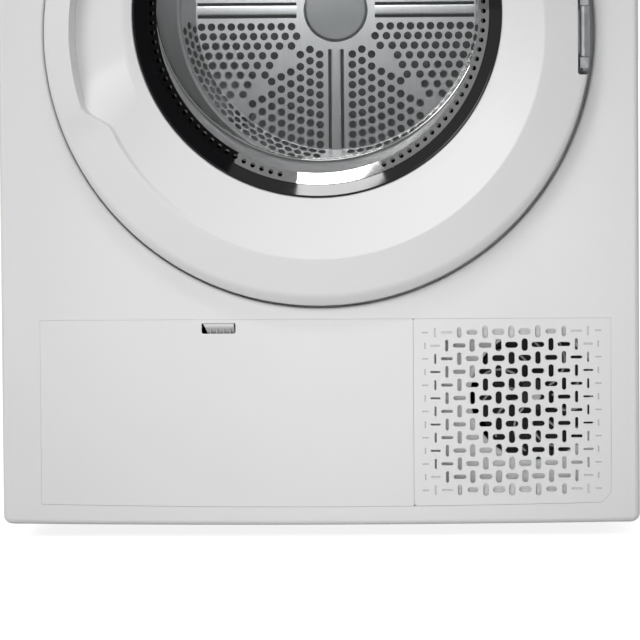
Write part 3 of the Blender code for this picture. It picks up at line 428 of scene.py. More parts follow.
def arc(centre, radius, start, end, steps):
    angles = [math.radians(start + (end - start) * step / steps) for step in range(steps + 1)]
    return [(centre[0] + radius * math.cos(a), centre[1] + radius * math.sin(a)) for a in angles]


def circle(centre, radius, steps):
    return arc(centre, radius, 0, 360, steps)[:-1]


def front_outline(x0, x1, z0, z1, radii, rise, low_steps, top_steps, lower_steps=40, cut=False):
    """Outline seen from the front, with radii of its lower left, lower right and upper corners.

    Its lower edge rises by rise towards the cabinet's sides; cut makes the lower right corner straight.
    """
    left_r, right_r, top_r = (max(radius, LEAST_R) for radius in radii)
    points = arc((x1 - right_r, z0 + right_r), right_r, -90, 0, low_steps)
    if cut:
        shares = [step / low_steps for step in range(low_steps + 1)]
        points = [(x1 - right_r * (1 - share), z0 + right_r * share) for share in shares]
    points += arc((x1 - top_r, z1 - top_r), top_r, 0, 90, top_steps)
    points += arc((x0 + top_r, z1 - top_r), top_r, 90, 180, top_steps)
    points += arc((x0 + left_r, z0 + left_r), left_r, 180, 270, low_steps)
    span = x1 - x0 - left_r - right_r
    points += [(x0 + left_r + span * step / lower_steps, z0) for step in range(1, lower_steps)]
    middle = (z0 + z1) / 2
    return [(x, z + rise * (x / HALF) ** 2) if z < middle else (x, z) for x, z in points]


def rounded(x0, x1, z0, z1, low_radius, high_radius, rise=0.0, corner_steps=10, lower_steps=40):
    return front_outline(x0, x1, z0, z1, (low_radius, low_radius, high_radius), rise, corner_steps,
                         corner_steps, lower_steps)


def grown(box, *rest):
    """Function of grow that outlines a box (x0, x1, z0, z1) made wider by grow, with rounded corners."""
    x0, x1, z0, z1 = box
    return lambda grow: rounded(x0 - grow, x1 + grow, z0 - grow, z1 + grow, *rest)


def edge_rows(outline_at, face_y, radius, back=1.0, steps=6):
    """Rows of a rounded edge, from the face round to the side; outline_at takes the way in or out."""
    rows = []
    for step in range(steps + 1):
        a = math.radians(90 * step / steps)
        rows.append(at_y(outline_at(radius * (1 - math.sin(a))), face_y + back * radius * (1 - math.cos(a))))
    return rows


def hole_rows(outline_at, depth, radius):
    """Rows of a hole in the front with a rounded mouth; outline_at(grow) is wider by grow."""
    return edge_rows(outline_at, FACE_Y, radius, 1.0, 4) + [at_y(outline_at(0.0), FACE_Y + depth)]


def pan(outline_at, face_y, rim_y, edge_radius, holes=(), wall=WALL):
    """Panel with a rounded edge and a rim folded back; holes are rows from front to back."""
    shape = bmesh.new()
    back = math.copysign(1.0, rim_y - face_y)
    rows = edge_rows(outline_at, face_y, edge_radius, back)
    rows += [at_y(outline_at(0.0), rim_y), at_y(outline_at(wall), rim_y),
             at_y(outline_at(wall), face_y + back * max(edge_radius, wall * 1.01)),
             at_y(outline_at(max(edge_radius, wall * 1.01)), face_y + back * wall)]
    fill_ends(shape, bridge(shape, rows), *[bridge(shape, hole) for hole in holes])
    return shape


def turned(axis, centre, profile, steps=TURN):
    """Spin a profile of (radius, along) about X, Y or Z through centre, given across it."""
    def place(u, v, along):
        return {"X": (along, u, v), "Y": (u, along, v), "Z": (u, v, along)}[axis]
    shape = bmesh.new()
    middle = Vector(place(*centre, 0.0))
    verts = [shape.verts.new(middle + Vector(place(radius, 0.0, along))) for radius, along in profile]
    pairs = list(zip(verts, verts[1:]))
    if profile[0][0] > 0:
        pairs.append((verts[-1], verts[0]))
    edges = [shape.edges.new(pair) for pair in pairs]
    bmesh.ops.spin(shape, geom=verts + edges, cent=middle, axis=Vector(place(0, 0, 1)),
                   angle=math.tau, steps=steps, use_merge=True)
    return shape


def soften(profile, radius, steps=3):
    """Round the corners of a section of (u, v) points; a closed section."""
    points = [Vector(point) for point in profile]
    result = []
    for index, corner in enumerate(points):
        before, after = points[index - 1], points[(index + 1) % len(points)]
        if corner.x == 0:
            result.append(tuple(corner))
            continue
        start = corner + (before - corner).normalized() * min(radius, 0.4 * (before - corner).length)
        end = corner + (after - corner).normalized() * min(radius, 0.4 * (after - corner).length)
        for step in range(steps + 1):
            t = step / steps
            result.append(tuple(start * (1 - t) ** 2 + corner * 2 * t * (1 - t) + end * t ** 2))
    return result


def about_drum(profile):
    return turned("Y", (0.0, DRUM_Z), profile, 160)


def block(xs, ys, zs, radius=0.0008, segments=2):
    """A block with rounded edges."""
    shape = bmesh.new()
    bmesh.ops.create_cube(shape, size=1.0)
    bmesh.ops.scale(shape, verts=shape.verts, vec=(xs[1] - xs[0], ys[1] - ys[0], zs[1] - zs[0]))
    middle = ((xs[0] + xs[1]) / 2, (ys[0] + ys[1]) / 2, (zs[0] + zs[1]) / 2)
    bmesh.ops.translate(shape, verts=shape.verts, vec=middle)
    bmesh.ops.bevel(shape, geom=list(shape.edges), offset=radius, segments=segments, affect="EDGES",
                    profile=0.5)
    return shape


def node_block(name, radius, segments=2):
    """A block with rounded edges in a CAD node's place."""
    low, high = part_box(name)
    return block((low.x, high.x), (low.y, high.y), (low.z, high.z), radius, segments)


def node_centre(name):
    """Centre of a node as seen from the front, as (x, z)."""
    low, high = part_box(name)
    return (low.x + high.x) / 2, (low.z + high.z) / 2


# ---------------------------------------------------------------- door
def smooth_step(value):
    value = np.clip(value, 0.0, 1.0)
    return value * value * (3 - 2 * value)


DEGREES = np.arange(ROUND) * 360.0 / ROUND
ANGLES = np.radians(DEGREES)


def door_rings():
    """Shares of the finger recess, its step and the lower chamfer's width round the door."""
    away = np.abs(DEGREES - 180.0)
    grip = smooth_step((GRIP_HALF[0] - away) / GRIP_HALF[1])
    deep = smooth_step((GRIP_FLOOR_HALF[0] - away) / GRIP_FLOOR_HALF[1])
    step = BAND_STEP * smooth_step((BAND_HALF[0] - away) / BAND_HALF[1])
    down = np.maximum(0.0, np.cos(np.radians(DEGREES + 90)))
    chamfer = CHAMFER[0] + CHAMFER[1] * down ** CHAMFER[2]
    return grip, deep, step, chamfer


def at(centre_z, radius, y):
    """Points of one ring, as an array of rows (x, y, z)."""
    radius = np.broadcast_to(radius, ANGLES.shape)
    y = np.broadcast_to(y, ANGLES.shape)
    return np.stack([radius * np.cos(ANGLES), y, centre_z + radius * np.sin(ANGLES)], axis=1)


def ring_solid(section, steps):
    """A ring whose section's corners are (centre's height, radius, y, corner size)."""
    shape = bmesh.new()
    controls = [(at(height, radius, y), size) for height, radius, y, size in section]
    bridge(shape, softened_rings(controls, steps), closed=True)
    return shape


def bowl_solid(section, steps):
    """The same, with each centre's share of the climb from the window's height to the bowl's."""
    return ring_solid([(WINDOW_Z + share * (BOWL_Z - WINDOW_Z), *rest) for share, *rest in section], steps)


def softened_rings(controls, steps=4):
    """Round the section through the control rings: each is (points, corner size)."""
    rows = []
    for index, (corner, size) in enumerate(controls):
        if size == 0:
            rows.append(corner)
            continue
        before, after = controls[index - 1][0], controls[(index + 1) % len(controls)][0]
        starts = []
        for other in (before, after):
            reach = np.linalg.norm(other - corner, axis=1, keepdims=True)
            starts.append(corner + (other - corner) / reach * np.minimum(size, 0.45 * reach))
        for step in range(steps + 1):
            t = step / steps
            rows.append(starts[0] * (1 - t) ** 2 + corner * 2 * t * (1 - t) + starts[1] * t ** 2)
    return [[tuple(point) for point in row] for row in rows]


def notch_cutter():
    """Cutter for the place of the hinge in the door's edge."""
    low, high = RING_BOX
    shape = block(NOTCH_X, (low.y - NOTCH_SPARE, high.y + NOTCH_SPARE),
                  (DOOR_Z - NOTCH_HALF, DOOR_Z + NOTCH_HALF), 0.002)
    return add_object("hinge_notch", mesh_of("hinge_notch", shape))


def cut_notch(piece, cutter):
    """Cut the hinge's notch for good, so that the mesh is final."""
    modifier = piece.modifiers.new("notch", "BOOLEAN")
    modifier.operation = "DIFFERENCE"
    modifier.solver = "EXACT"
    modifier.object = cutter
    graph = bpy.context.evaluated_depsgraph_get()
    mesh = bpy.data.meshes.new_from_object(piece.evaluated_get(graph))
    piece.modifiers.remove(modifier)
    piece.data = mesh
    shade(mesh)


def make_door_ring(cutter):
    grip, deep, step, chamfer = door_rings()
    ridge_z = DOOR_Z + RIDGE_LIFT
    ridge = RIDGE_R + GRIP_REACH * grip
    dish = RIDGE_Y + 0.0012 + step + GRIP_DEPTH * deep
    inside = 0.0026 - 0.0006 * grip
    wall = 0.0025
    section = [
        (DOOR_Z, DOOR_R - 0.0004, DOOR_BACK_Y, 0.0006),
        (DOOR_Z, DOOR_R, DOOR_EDGE_Y + chamfer, 0.0045),
        (DOOR_Z, DOOR_R - chamfer, DOOR_EDGE_Y - 0.0010, 0.0040),
        (ridge_z, ridge, RIDGE_Y, 0.0012),
        (ridge_z, ridge - inside, dish, 0.0020),
        (WINDOW_Z, WINDOW_R + 0.009, WINDOW_Y - 0.0032, 0.0030),
        (WINDOW_Z, WINDOW_R + 0.0005, WINDOW_Y - 0.0008, 0.0008),
        (WINDOW_Z, WINDOW_R, WINDOW_Y + wall, 0.0),
        (WINDOW_Z, WINDOW_R + 0.009, WINDOW_Y + wall, 0.0),
        (ridge_z, ridge - 0.005, dish + wall, 0.0),
        (ridge_z, ridge, RIDGE_Y + wall + 0.0003, 0.0),
        (DOOR_Z, DOOR_R - 0.010, DOOR_EDGE_Y + 0.0025, 0.0),
        (DOOR_Z, DOOR_R - wall, DOOR_EDGE_Y + 0.012, 0.0),
        (DOOR_Z, DOOR_R - wall, DOOR_BACK_Y, 0.0),
    ]
    cut_notch(finish_piece("door_ring_moulding", ring_solid(section, 5), "door_white", "door",
                           ["door_outer_ring"]), cutter)


def make_door_frame(cutter):
    front, back, lip = -0.2835, -0.2757, -0.2954
    hole_z = WINDOW_Z + 0.001
    section = [
        (DOOR_Z, 0.2500, front, 0.001), (DOOR_Z, 0.2500, back, 0.002),
        (DOOR_Z, 0.2400, back, 0.0015), (DOOR_Z, 0.2370, back - 0.002, 0.0015),
        (DOOR_Z, 0.2200, back - 0.002, 0.0015), (DOOR_Z, 0.2170, back, 0.0015),
        (hole_z, 0.1722, back, 0.002), (hole_z, 0.1722, lip, 0.0005),
        (hole_z, 0.1770, lip, 0.0), (hole_z, 0.1795, front, 0.001),
    ]
    cut_notch(finish_piece("door_inner_moulding", ring_solid(section, 3), "light_grey", "door",
                           ["door_inner_frame"]), cutter)


def make_bowl_steps():
    """Stepped moulding between the pierced ring and the bowl's wide back rim, with its bright bead."""
    steps, tread, backing, bead_r, bead_sides = 5, 0.0004, 0.0025, 0.0019, 16
    rise = (STEPS_BACK_Y - STEPS_FRONT_Y) / steps * 0.86
    rows = []
    for index in range(steps):
        low, high = index / steps, (index + 1) / steps
        radius = STEPS_FRONT_R + (STEPS_BACK_R - STEPS_FRONT_R) * low
        y = STEPS_FRONT_Y + (STEPS_BACK_Y - STEPS_FRONT_Y) * low
        rows += [(low, radius, y, 0.0006), (high - 0.03, radius + tread, y + rise, 0.0006)]
    rows += [(1.0, STEPS_BACK_R, STEPS_BACK_Y, 0.0008),
             (1.0, STEPS_BACK_R + backing, STEPS_BACK_Y, 0.0),
             (0.0, STEPS_FRONT_R + backing, STEPS_FRONT_Y, 0.0)]
    finish_piece("bowl_steps", bowl_solid(rows, 3), "step_glass", "door")
    bead = [(1.0, radius, y, 0.0) for radius, y in
            circle((STEPS_BACK_R - 0.0008, STEPS_BACK_Y - 0.0016), bead_r, bead_sides)]
    finish_piece("bowl_rim_bead", bowl_solid(bead, 3), "bead_metal", "door", sharp=60)


def make_inner_ring():
    """Bright pierced ring inside the bezel."""
    shape = bmesh.new()
    outer_r, inner_r, outer_y, inner_y = 0.1599, 0.1503, -0.2924, -0.2866

    def point(turn, across):
        radius = outer_r + (inner_r - outer_r) * across
        a = math.tau * turn / RING_HOLES
        lift = 0.0003 + 0.0005 * across
        return (radius * math.sin(a), outer_y + (inner_y - outer_y) * across,
                WINDOW_Z + lift - radius * math.cos(a))

    for cell in range(-RING_HOLES // 2, RING_HOLES // 2):
        hole = None if cell in PLAIN_CELLS else ((cell, 0.55), (0.25, 0.24))
        pierced_cell(shape, point, (cell, 0.5), (0.5, 0.5), hole)
    sheet_piece("window_inner_ring", shape, "ring_metal", "door", 0.0006)


def make_door_glass():
    """Window's dark band, rings and steps, then the clear bowl itself."""
    band = ((0.0, 0.1714, -0.2984, 0.0), (0.0, 0.1704, -0.2988, 0.0008), (0.02, 0.1600, -0.2925, 0.0004),
            (0.02, 0.1600, -0.2909, 0.0), (0.0, 0.1714, -0.2972, 0.0))
    finish_piece("window_bezel", bowl_solid(band, 5), "bezel", "door")
    make_inner_ring()
    make_bowl_steps()

    section = (     # outside, then inside
        (0.0, 0.1785, -0.2968, 0.0), (0.0, 0.1725, -0.2968, 0.0012), (0.04, 0.1575, -0.2858, 0.0020),
        (0.15, 0.1550, -0.2780, 0.0030), (0.95, 0.1612, -0.2230, 0.0040), (1.0, 0.1540, -0.2150, 0.0050),
        (1.0, 0.1250, -0.2135, 0.0060), (1.0, 0.0600, -0.2130, 0.0), (1.0, 0.0010, -0.2128, 0.0),
        (1.0, 0.0010, -0.2092, 0.0), (1.0, 0.0600, -0.2094, 0.0), (1.0, 0.1250, -0.2099, 0.0060),
        (1.0, 0.1570, -0.2115, 0.0080), (0.95, 0.1644, -0.2215, 0.0050), (0.15, 0.1584, -0.2775, 0.0030),
        (0.04, 0.1640, -0.2850, 0.0020), (0.0, 0.1700, -0.2957, 0.0010), (0.0, 0.1785, -0.2957, 0.0),
    )
    finish_piece("door_glass_bowl", bowl_solid(section, 5), "glass", "door", ["door_glass"])


# ---------------------------------------------------------------- drum
WALL_PITCH = 0.00985            # spacing of the lines of holes beside a rib
RING_STEP = 0.0100              # spacing of the rings that the holes lie on
OUTER_RING = 0.1381
FIRST_LINE = 0.0167             # distance of the first line of holes from its rib's middle
SECTOR = 0.71                   # share of a ring's radius that its lines may reach sideways
SECTOR_GAP = 0.0058             # least distance between the lines of two sectors
RINGS = 10
LINES = 12
HOLE_R = 0.0040
FLAT_R = 0.1432                 # where the wall's flat middle ends and its slope begins
FLAT_Y = 0.2058
SLOPE_R = 0.1575
SLOPE_Y = 0.1815
SLOPE_CELLS = 94
SLOPE_GAP = 1.2                 # cells left without a hole beside a rib
HOLE_REACH = (HOLE_R / 0.0100, HOLE_R * 0.95)   # in cells round the slope, and along it
RIB_ENDS = (0.0400, 0.1412)
RIB_HALF = 0.0080
SHEET = 0.0010


def rotated(x, z, quarter):
    """Turn a point about the drum's axis by quarters."""
    for _ in range(quarter):
        x, z = z, -x
    return x, z


def wall_hole_centres():
    """Holes in straight lines beside each of the four ribs, on rings round the axis."""
    centres = []
    for quarter in range(4):
        for ring in range(RINGS):
            radius = OUTER_RING - ring * RING_STEP
            for line in range(LINES):
                x = FIRST_LINE + line * WALL_PITCH
                if x >= radius * SECTOR:
                    continue
                z = -math.sqrt(radius ** 2 - x ** 2)
                if -z - x < SECTOR_GAP:
                    continue
                centres += [rotated(x, z, quarter), rotated(-x, z, quarter)]
    return centres


def rib_outline(quarter):
    """Window in the wall that a rib sits in."""
    low, high = RIB_ENDS
    corners = ((-RIB_HALF, -high), (RIB_HALF, -high), (RIB_HALF, -low), (-RIB_HALF, -low))
    return [rotated(x, z, quarter) for x, z in corners]


def sheet_piece(name, shape, material, body, thickness, replaced=()):
    """A thin sheet given its thickness for good."""
    bmesh.ops.remove_doubles(shape, verts=shape.verts, dist=2e-6)
    bmesh.ops.recalc_face_normals(shape, faces=shape.faces)
    bmesh.ops.solidify(shape, geom=list(shape.faces), thickness=thickness)
    return finish_piece(name, shape, material, body, replaced, 40)


def make_wall_flat():
    shape = bmesh.new()
    loops = [circle((0, DRUM_Z), FLAT_R, 188)]
    loops += [circle((x, DRUM_Z + z), HOLE_R, 14) for x, z in wall_hole_centres()]
    loops += [[(x, DRUM_Z + z) for x, z in rib_outline(quarter)] for quarter in range(4)]
    edges = []
    for loop in loops:
        edges += closed_edges(shape, at_y(loop, FLAT_Y))[1]
    fill(shape, edges)
    sheet_piece("drum_rear_perforated", shape, "wall_steel", "drum", SHEET, ["drum_rear_wall"])


def make_wall_ribs():
    """Pressed ribs: a raised bar between two slots."""
    section = [(-0.0050, 0.0016), (-0.0046, -0.0006), (-0.0034, -0.0012), (0.0034, -0.0012),
               (0.0046, -0.0006), (0.0050, 0.0016)]
    for quarter in range(4):
        rows = []
        for reach in (RIB_ENDS[0], 0.0900, RIB_ENDS[1]):
            front = [(*rotated(x, -reach, quarter), y) for x, y in section]
            back = [(*rotated(x, -reach, quarter), y + 0.0008) for x, y in reversed(section)]
            rows.append([(x, FLAT_Y + y, DRUM_Z + z) for x, z, y in front + back])
        finish_piece(f"drum_wall_rib_{quarter + 1}", loft(rows), "wall_steel", "drum", sharp=50)


def make_wall_slope():
    """Sloping step round the flat, with three rings of staggered holes."""
    slant = math.hypot(SLOPE_R - FLAT_R, FLAT_Y - SLOPE_Y)
    marks = [0.0, 0.0008] + [0.0008 + (slant - 0.0016) * step / 3 for step in (1, 2, 3)] + [slant]
    shape = bmesh.new()

    def point(turn, along):
        share = along / slant
        radius = FLAT_R + (SLOPE_R - FLAT_R) * share
        a = math.tau * turn / SLOPE_CELLS
        return (radius * math.sin(a), FLAT_Y + (SLOPE_Y - FLAT_Y) * share, DRUM_Z - radius * math.cos(a))

    for index, (low, high) in enumerate(zip(marks, marks[1:])):
        middle, reach = (low + high) / 2, (high - low) / 2
        pierced = 0 < index < 4
        for cell in range(SLOPE_CELLS):
            turn = cell + 0.5 * (index % 2)
            away = abs((turn + SLOPE_CELLS / 8) % (SLOPE_CELLS / 4) - SLOPE_CELLS / 8)
            hole = ((turn, middle), HOLE_REACH) if pierced and away >= SLOPE_GAP else None
            pierced_cell(shape, point, (turn, middle), (0.5, reach), hole)
    sheet_piece("drum_rear_slope", shape, "wall_steel", "drum", SHEET)


def make_drum_rear_wall():
    """Perforated wall with four ribs, its slope, its flat border and the shaft."""
    make_wall_flat()
    make_wall_ribs()
    make_wall_slope()
    border = soften([(SLOPE_R - 0.0005, SLOPE_Y - 0.0006), (SLOPE_R + 0.003, SLOPE_Y - 0.0016),
                     (DRUM_R - 0.0014, SLOPE_Y - 0.0016), (DRUM_R - 0.0014, SLOPE_Y + 0.0008),
                     (SLOPE_R + 0.003, SLOPE_Y + 0.0008), (SLOPE_R - 0.0005, SLOPE_Y + 0.0008)], 0.0006)
    # the border takes the darkened copy of the wall's steel, painted shade round the drum's rim
    finish_piece("drum_rear_border", about_drum(border), "shaded_border_steel", "drum")
    shaft = soften([(0, 0.2040), (0.030, 0.2040), (0.034, 0.2052), (0.034, 0.2110), (0.010, 0.2140),
                    (0.010, 0.2420), (0, 0.2420)], 0.0010)
    finish_piece("drum_shaft", turned("Y", (0.0, DRUM_Z), shaft), "shaft", "drum")


def make_drum_shell():
    """Shell with rolled beads and a folded front lip."""
    outer, inner = DRUM_R, DRUM_R - SHEET
    front, back = DRUM_BOX[0].y, DRUM_BOX[1].y
    outside, inside = [], []
    for bead in (-0.19, -0.04, 0.12):
        for offset, dip in ((-0.006, 0.0), (-0.003, 0.0012), (0.003, 0.0012), (0.006, 0.0)):
            outside.append((outer - dip, bead + offset))
            inside.append((inner - dip, bead + offset))
    profile = [(outer, front)] + outside + [(outer, back), (inner, back)] + inside[::-1]
    profile += [(inner, front + 0.001), (0.2680, front + 0.001), (0.2680, front)]
    finish_piece("drum_barrel", about_drum(profile), "steel", "drum", ["drum_shell"])


def make_lifters():
    """Three moulded ribs with rounded crests and tapered ends."""
    for index in range(3):
        name = f"drum_lifter_{index + 1}"
        low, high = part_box(name)
        base, crest = DRUM_R - 0.0035, DRUM_R - 0.0435
        section = soften([(-0.0245, -base), (-0.019, -base + 0.010), (-0.0085, -crest), (0.0085, -crest),
                          (0.019, -base + 0.010), (0.0245, -base)], 0.006, 4)
        spin = Matrix.Rotation(-math.tau * index / 3, 4, "Y")
        rows = []
        for y, scale in ((low.y, 0.80), (low.y + 0.004, 0.93), (low.y + 0.014, 1.0), (high.y - 0.014, 1.0),
                         (high.y - 0.004, 0.93), (high.y, 0.80)):
            row = []
            for x, z in section:
                lift = -base + (z + base) * scale
                point = spin @ Vector((x * (0.9 + 0.1 * scale), y, lift))
                row.append((point.x, point.y, DRUM_Z + point.z))
            rows.append(row)
        finish_piece(f"lifter_rib_{index + 1}", loft(rows), "light_grey", "drum", [name], 40)


# ---------------------------------------------------------------- front
def lower_outline(x0, x1, left_radius, right_radius, grow, low_grow):
    """Outline of the flap's or grille's place, wider by grow, with its two lower corner radii."""
    return front_outline(x0 - grow, x1 + grow, FLAP_LOW - low_grow, FLAP_HIGH + grow,
                         (left_radius, right_radius, 0.0016), SEAM_RISE, 10, 6, cut=right_radius > 0.005)


def panel_outline(box, low_radius, high_radius, rise=0.0):
    """Function of inset that outlines a panel whose corners stay concentric as it shrinks."""
    low, high = box
    return lambda inset: rounded(low.x + inset, high.x - inset, low.z + inset, high.z - inset,
                                 low_radius - inset, high_radius - inset, rise)


def make_front_panel():
    opening = DOOR_R + DOOR_GAP
    centre = (OPENING_X, DOOR_Z)
    roll = 0.0032
    rows = edge_rows(lambda grow: circle(centre, opening + grow, ROUND), FACE_Y, roll, 1.0, 5)
    mouth = (0, DRUM_Z)
    rows += [at_y(circle(middle, radius, ROUND), y) for middle, radius, y in (
        (centre, opening, RECESS_Y - 0.004), (centre, opening - 0.001, RECESS_Y - 0.001),
        (centre, opening - 0.004, RECESS_Y), (mouth, LIP_R[0], RECESS_Y), (mouth, LIP_R[1], RECESS_Y + 0.001),
        (mouth, LIP_R[1], RECESS_Y + WALL), (centre, opening + WALL, RECESS_Y + WALL),
        (centre, opening + WALL, FACE_Y + WALL + 0.0005), (centre, opening + WALL + 0.001, FACE_Y + WALL))]

    def place_at(grow):
        return lower_outline(FLAP_SIDES[0], GRILLE_BOX[1].x, FLAP_CORNER, 0.009, grow + SEAM, grow + LOW_SEAM)

    shape = pan(panel_outline(PANEL_BOX, 0.008, 0.0015, LOWER_RISE), FACE_Y, RIM_Y, PANEL_EDGE,
                [rows, hole_rows(place_at, WALL, 0.00025)])
    finish_piece("front_panel_sheet", shape, "enamel", "cabinet", ["front_panel"])


def make_flap():
    left, right = FLAP_SIDES

    def outline_at(inset):
        return lower_outline(left, right, FLAP_CORNER - inset, FLAP_CORNER - inset, -inset, -inset)

    slot = hole_rows(grown(FINGER_SLOT, 0.0020, 0.0012, 0.0, 6, 4), WALL, 0.0006)
    shape = pan(outline_at, FACE_Y, -0.2862, 0.0003, [slot])
    finish_piece("flap_cover", shape, "enamel", "flap", ["flap"])
    for side, edge, outwards in (("left", left, -1), ("right", right, 1)):
        ends = sorted((edge - outwards * 0.0042, edge + outwards * 0.0026))
        pin = turned("X", FLAP_PIVOT, soften([(0, ends[0]), (PIN_R, ends[0]), (PIN_R, ends[1]),
                                              (0, ends[1])], 0.0003), 24)
        finish_piece(f"flap_hinge_pin_{side}", pin, "white", "flap")
        boss_x = sorted((edge - outwards * 0.0012, edge - outwards * 0.0045))
        boss = block(boss_x, (-0.2884, -0.2850), (0.0345, 0.0390), 0.0006)
        finish_piece(f"flap_hinge_boss_{side}", boss, "white", "flap")


def make_latch():
    """Sloping catch in the flap's finger slot, its ends leaning, with four small ribs."""
    low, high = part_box("flap_latch")
    top, bottom, front = high.z, low.z, FACE_Y + 0.0006
    section = soften([(front, top), (front, top - 0.0030), (front + 0.0030, top - 0.0062),
                      (-0.2832, bottom), (high.y, bottom), (high.y, top)], 0.0012, 4)

    def end_x(outer, lean, z):
        return outer + lean * (top - z) / (top - bottom)

    rows = [[(end_x(outer, lean, z), y, z) for y, z in section] for outer, lean in LATCH_ENDS]
    finish_piece("flap_latch_face", loft(rows), "latch_white", "flap_catch", ["flap_latch"])
    for index, x in enumerate(LATCH_RIBS):
        rib = block((x - 0.0005, x + 0.0005), (FACE_Y + 0.0022, -0.2830), (bottom, top - 0.0052), 0.0003)
        finish_piece(f"flap_latch_rib_{index + 1}", rib, "light_grey", "flap_catch")


def column_x(column):
    offset = COLUMN_PITCH * abs(column) - OUTER_SQUEEZE * (abs(column) / LAST_COLUMN) ** 5
    return GRILLE_X + math.copysign(offset, column)


def pill(x, z, length, thickness, lying, grow=0.0, steps=7):
    """Outline of a slot with round ends."""
    r = thickness / 2 + grow
    reach = max(length / 2 + grow - r, 0.00005)
    if lying:
        return arc((x + reach, z), r, -90, 90, steps) + arc((x - reach, z), r, 90, 270, steps)
    return arc((x, z + reach), r, 0, 180, steps) + arc((x, z - reach), r, 180, 360, steps)


def grille_slot(row, column):
    """Rows of one slot from front to back, and whether it is only a pocket."""
    side, edge_row = abs(column), row in (0, LAST_ROW)
    faint = side == LAST_COLUMN or (edge_row and side > 4) or (row in (1, LAST_ROW - 1) and side == 6)
    blind = faint or edge_row
    length, thickness = SLOT_LENGTH[side], SLOT_THICKNESS[side]
    if faint:
        length, thickness = length * 0.92, min(thickness, 0.0016)
    elif edge_row and side > 2:
        length *= 0.85
    lying = (row + column) % 2 == 1
    depth = 0.0006 if faint else 0.0021 if blind else GRILLE_PLATE
    mouth = 0.0003 if faint else 0.00035
    x = column_x(column)
    z = GRILLE_TOP_ROW - row * ROW_PITCH + LOWER_RISE * (x ** 2 - GRILLE_X ** 2) / HALF ** 2
    slot = [at_y(pill(x, z, length, thickness, lying, grow), FACE_Y + back)
            for grow, back in ((mouth, 0.0), (mouth * 0.3, mouth * 0.3), (0.0, mouth),
                               (-0.00005 if blind else 0.0, depth))]
    if blind and not faint:     # its floor is smaller and lies lower, so that its upper wall shows
        keep, drop = (0.45, 0.0009) if lying else (0.62, 0.0014)
        slot[-1] = [(x + 0.8 * (px - x), y, z + keep * (pz - z) - drop) for px, y, pz in slot[-1]]
    return slot, blind


def make_grille():
    """Plate with pill slots, thinner towards the sides; the outermost are blind pockets."""
    left, right = GRILLE_BOX[0].x, GRILLE_BOX[1].x

    def outline_at(inset):
        return lower_outline(left - 0.00065, right, 0.003 - inset, 0.0088 - inset, -inset, -inset)

    shape = bmesh.new()
    rows = edge_rows(outline_at, FACE_Y, 0.0003, 1.0, 4) + [at_y(outline_at(0.0), FACE_Y + GRILLE_PLATE)]
    edges = bridge(shape, rows)
    front, rear = list(edges[0]), list(edges[-1])
    for row in range(LAST_ROW + 1):
        for column in range(-LAST_COLUMN, LAST_COLUMN + 1):
            slot, blind = grille_slot(row, column)
            slot_edges = bridge(shape, slot)
            front += slot_edges[0]
            if blind:
                fill(shape, slot_edges[-1])
            else:
                rear += slot_edges[-1]
    fill(shape, front)
    fill(shape, rear)
    finish_piece("vent_grille_plate", shape, "grille_white", "cabinet", ["vent_grille"], 50)


def make_fan_duct():
    """Wall with a round inlet that has a rolled mouth."""
    low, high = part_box("fan_duct_front")
    shape = bmesh.new()
    outline = rounded(low.x, high.x, low.z, high.z, 0.006, 0.006)
    inlet = [at_y(circle((INLET_X, INLET_Z), r, 120), y)
             for r, y in ((0.0680, low.y), (0.0650, low.y - 0.0012), (0.0620, low.y - 0.0010),
                          (0.0602, low.y + 0.0006), (0.0600, high.y))]
    outer = bridge(shape, [at_y(outline, low.y), at_y(outline, high.y)])
    fill_ends(shape, outer, bridge(shape, inlet))
    finish_piece("fan_duct_wall", shape, "duct", "cabinet", ["fan_duct_front"])


def make_fan(name, hub, tip):
    """Wheel with swept blades on a disc, from the hub's radius to the tip's."""
    low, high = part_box(name)
    root = hub * 0.9
    shape = bmesh.new()
    for index in range(FAN_BLADES):
        lean = math.tau * index / FAN_BLADES
        rows = []
        for step in range(9):
            t = step / 8
            r = root + (tip - 0.0008 - root) * t
            a = lean + 0.55 * t * t
            across = Vector((-math.sin(a + 0.5 * t), math.cos(a + 0.5 * t))) * 0.0009
            x, z = INLET_X + r * math.cos(a), INLET_Z + r * math.sin(a)
            front, back = low.y + 0.001 + 0.006 * t, high.y - 0.0025
            rows.append([(x + across.x, front, z + across.y), (x + across.x, back, z + across.y),
                         (x - across.x, back, z - across.y), (x - across.x, front, z - across.y)])
        fill_ends(shape, bridge(shape, rows))
    finish_piece(f"{name}_blades", shape, "fan", "rotor", [name], 40)
    profile = soften([(SHAFT_HOLE, low.y), (hub * 0.8, low.y), (hub, low.y + 0.004), (hub, high.y - 0.004),
                      (tip, high.y - 0.003), (tip, high.y), (SHAFT_HOLE, high.y)], 0.0008)
    finish_piece(f"{name}_disc", turned("Y", (INLET_X, INLET_Z), profile), "fan_dark", "rotor")


def make_fascia():
    """Control panel with the holes for what sits in it."""
    def box_hole(node, gap, radius):
        lo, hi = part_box(node)
        place = (lo.x - gap, hi.x + gap, lo.z - gap, hi.z + gap)
        return hole_rows(grown(place, radius, radius, 0.0, 6, 4), WALL, 0.0006)

    def round_hole(node, radius):
        return hole_rows(lambda grow: circle(node_centre(node), radius + grow, 64), WALL, 0.0006)

    holes = [box_hole("tank_front", 0.0006, 0.0025), box_hole("display_lens", 0.0004, 0.002),
             box_hole("option_button_left", 0.0006, 0.0015), box_hole("option_button_right", 0.0006, 0.0015),
             round_hole("programme_knob", 0.006), round_hole("start_button", 0.0106)]
    shape = pan(panel_outline(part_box("control_panel"), 0.0015, 0.006), FACE_Y, RIM_Y, PANEL_EDGE, holes)
    finish_piece("control_fascia", shape, "white", "cabinet", ["control_panel"])


